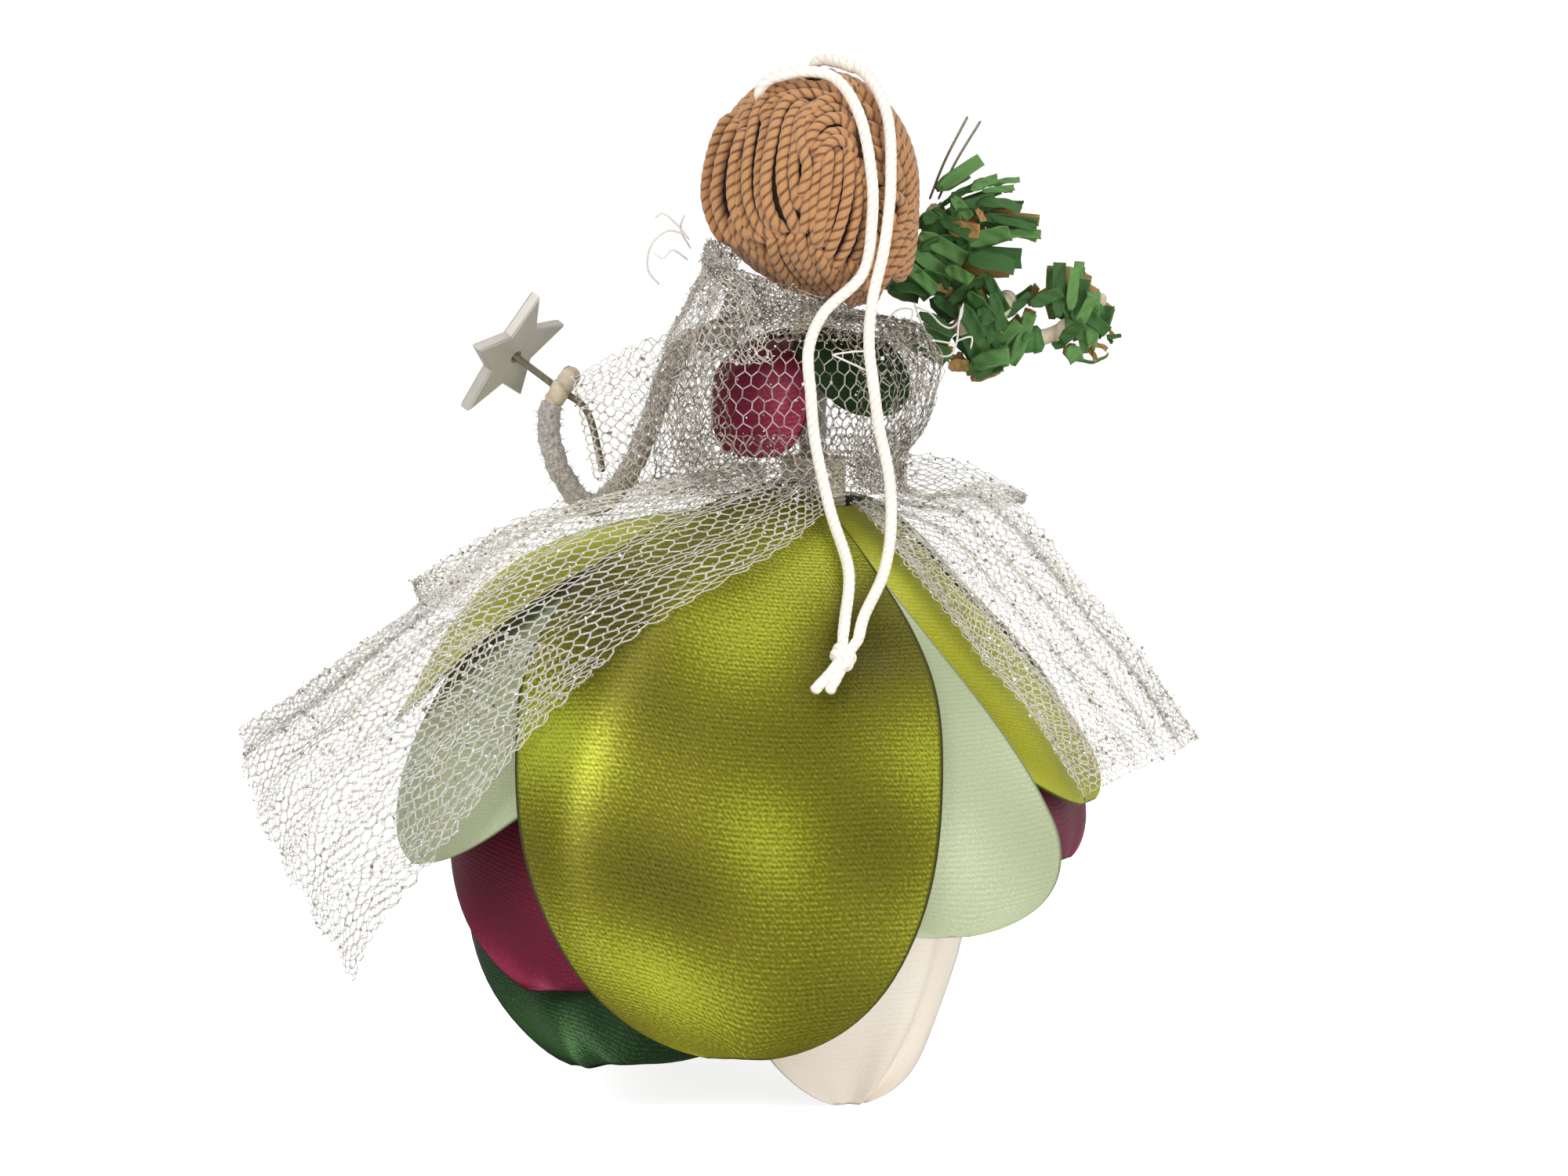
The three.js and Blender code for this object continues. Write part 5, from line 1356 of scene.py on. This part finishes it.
# The wreath: a twig of wire in tan crepe tape, held in the right hand, with three tufts of cut
# paper leaves bound on under the tape.
twig_reach = 22.0
twig_shares = np.array([
    (-0.26, 0.02, 0.5), (-0.24, 0.02, 0.3), (-0.137, 0.01, 0.117), (0, 0, 0), (0.114, -0.01, -0.096),
    (0.25, -0.02, -0.086), (0.4, -0.03, 0.01), (0.5, -0.04, 0.096),
])
twig_line = drawn(twig_shares * twig_reach + twig_grip, 0.1)
twig = built("taped_twig", [taped(twig_line, towards_front, 1.65, 2.2)], crepe)
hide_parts("twig")

paper, tree, shader = started("floral_leaf_paper", {"Roughness": 0.6, "Specular IOR Level": 0.4})
tone = put(tree, "Attribute", attribute_name="tone").outputs["Fac"]
straight = put(tree, "Attribute", attribute_name="straight").outputs["Vector"]
veins = put(tree, "Mapping", {"Vector": straight, "Scale": (4.5, 0.5, 1.0)})
fibre = put(tree, "TexNoise", {"Vector": veins.outputs[0], "Scale": 1.5, "Detail": 3.0})
mixed = put(tree, "Math", {0: fibre.outputs["Fac"], 1: 0.22, 2: tone}, operation="MULTIPLY_ADD")
stops = [(0.1, "#2a4c22"), (0.4, "#427035"), (0.66, "#6a9553"), (0.72, "#7d6234"), (0.875, "#a07c46")]
shade = put(tree, "ValToRGB", {"Fac": mixed.outputs[0]}, stops)
lift = put(tree, "Bump", {"Height": fibre.outputs["Fac"], "Strength": 0.4, "Distance": 0.0001})
coated(tree, shader, shade.outputs["Color"], lift)


def leaf(root, tip, width, facing, arch, crinkle, tones):
    """A strip of paper from its root on the twig to its square-cut tip. Its middle line arches off
    the straight by arch times a half sine, its width narrows at the root, and it is creased along
    its middle and crinkled across. tones are those of its face and of its back."""
    rows, columns, half_thick = 16, 7, 0.05
    row = np.linspace(0, 1, rows)[:, None]
    across = np.linspace(-1, 1, columns)[None]
    lengthwise = unit(tip - root)
    side = unit(np.cross(facing, lengthwise))
    face = np.cross(lengthwise, side)
    half = width / 2 * np.minimum(0.45 + 2.2 * row, 1.0) * (1 - 0.12 * row)
    lift = arch * np.sin(np.pi * row * 0.8) + 0.22 * np.abs(across) * width * crinkle
    lift = lift + 0.07 * np.sin(14 * row + 3 * across + 9 * crinkle)
    middle = root + (tip - root) * row[..., None] + (half * across)[..., None] * side + lift[..., None] * face
    loops = np.concatenate([(middle + half_thick * face)[:, ::-1], middle - half_thick * face], 1)
    length = np.linalg.norm(tip - root)
    flat = np.stack([half * across, row * length + 0 * across, 0 * row * across], -1)
    shades = np.repeat(tones, columns)[None] + 0 * row
    return loops, np.concatenate([flat[:, ::-1], flat], 1), shades


# Each row is a strip on the same sketch: root, tip, width and a shade from 0, dark green, over 1,
# lighter, to 2, the tan reverse. A last number brings a strip nearer to the viewer, in millimetres.
tufts = {
    "leaves_main": (0.02, 0.42, [
        (300, 300, 435, 210, 45, 1), (320, 345, 425, 300, 22, 0), (400, 305, 490, 268, 32, 1),
        (440, 312, 545, 300, 20, 1), (330, 375, 480, 330, 32, 0), (420, 350, 565, 380, 40, 0),
        (440, 395, 620, 420, 36, 0), (395, 480, 530, 450, 62, 1), (500, 455, 628, 465, 34, 1),
        (470, 400, 610, 436, 28, 0), (330, 430, 430, 442, 50, 2), (420, 370, 440, 412, 22, 2),
        (235, 450, 385, 535, 55, 1), (190, 485, 330, 600, 52, 1), (180, 540, 290, 640, 42, 1),
        (110, 600, 205, 590, 62, 1), (245, 410, 305, 378, 42, 0), (390, 530, 545, 562, 70, 0),
        (320, 560, 402, 602, 42, 1), (330, 672, 462, 590, 40, 0), (450, 580, 522, 702, 36, 0),
        (285, 620, 342, 640, 26, 2), (280, 660, 362, 722, 42, 0), (150, 622, 255, 645, 42, 0),
        (240, 500, 400, 470, 50, 0), (300, 400, 420, 470, 46, 0), (220, 580, 330, 620, 50, 0),
        (340, 330, 400, 400, 36, 1),
    ]),
    "leaves_branch": (0.58, 0.73, [
        (190, 750, 330, 800, 46, 0, 4.5), (200, 802, 330, 850, 42, 0, 4.5), (370, 680, 432, 792, 52, 0, 3),
        (410, 720, 452, 852, 56, 1), (520, 722, 602, 650, 32, 0), (480, 832, 562, 740, 42, 1),
        (540, 882, 602, 710, 42, 1), (408, 880, 532, 852, 62, 1), (420, 922, 512, 890, 32, 0),
        (470, 640, 502, 762, 40, 0, 3), (330, 880, 396, 886, 44, 2), (430, 690, 480, 800, 50, 0, 3),
        (395, 640, 470, 730, 50, 0, 3), (380, 760, 430, 870, 44, 0), (470, 760, 520, 860, 46, 0),
    ]),
    "leaves_tip": (0.83, 0.98, [
        (600, 682, 702, 640, 42, 0), (690, 722, 695, 545, 44, 0), (730, 702, 742, 560, 36, 1),
        (760, 722, 776, 600, 42, 0), (720, 700, 772, 792, 42, 1), (750, 762, 802, 652, 36, 1),
        (800, 822, 806, 640, 46, 1), (840, 762, 862, 692, 42, 0), (730, 815, 750, 866, 50, 1),
        (850, 790, 896, 786, 14, 0), (790, 815, 852, 836, 18, 2), (700, 800, 772, 740, 42, 0),
        (700, 690, 790, 740, 44, 0), (770, 700, 850, 770, 42, 0),
    ]),
}
leaf_tones = ((0.12, 0.7), (0.42, 0.8), (0.9, 0.3))
core_size, core_tone, layer_step, cut_wider = 2.9, 0.3, 2.3, 1.1
chance = np.random.default_rng(41)
for node_name, (start, end, rows) in tufts.items():
    core, core_straight, _ = taped(stretch(twig_line, start, end, 0.12), towards_front, core_size, 1.3)
    parts = [(core, core_straight, core_tone)]
    for layer in (-1, 0, 1):
        for root_x, root_y, tip_x, tip_y, width, kind, *nearer in rows:
            toss = chance.normal(0, 1, 4)
            depth = twig_grip[1] - sum(nearer) + layer_step * layer + 0.35 * toss[0]
            root, tip = on_sketch([(root_x, root_y), (tip_x, tip_y)], depth)
            tip[1] += 0.9 * toss[1]
            if layer > -1:
                tip, root = tip + 0.5 * toss[2], root + 0.5 * toss[3]
            facing = unit(np.array([0.35 * toss[2], -1, 0.5 * toss[3]])) * (-1 if layer == 1 else 1)
            wide, arch, crinkle = sketch_step * width * cut_wider, 0.35 * toss[3], chance.uniform(0.1, 0.8)
            parts.append(leaf(root, tip, wide, facing, arch, crinkle, leaf_tones[kind]))
    tuft = built("paper_" + node_name, parts, paper)
    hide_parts(node_name)

# Two fine binding wires stick out of the twig's upper end, cut off short. They are the same
# annealed steel.
for name, side, aim in (("twig_wire_long", -1, (0.17, 0.01, 0.37)), ("twig_wire_short", 1, (0.19, 0.04, 0.35))):
    root = twig_line[0] + (side * 0.425, 0, 0.35)
    end = root + twig_reach * np.array(aim)
    bend = root + 0.4 * (end - root) + (0, 0, 0.5)
    part = rod(drawn([root, bend, end], 0.2), towards_front, 0.25, 10)
    fine = built("binding_" + name[5:], [part], wire)
    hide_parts(name)
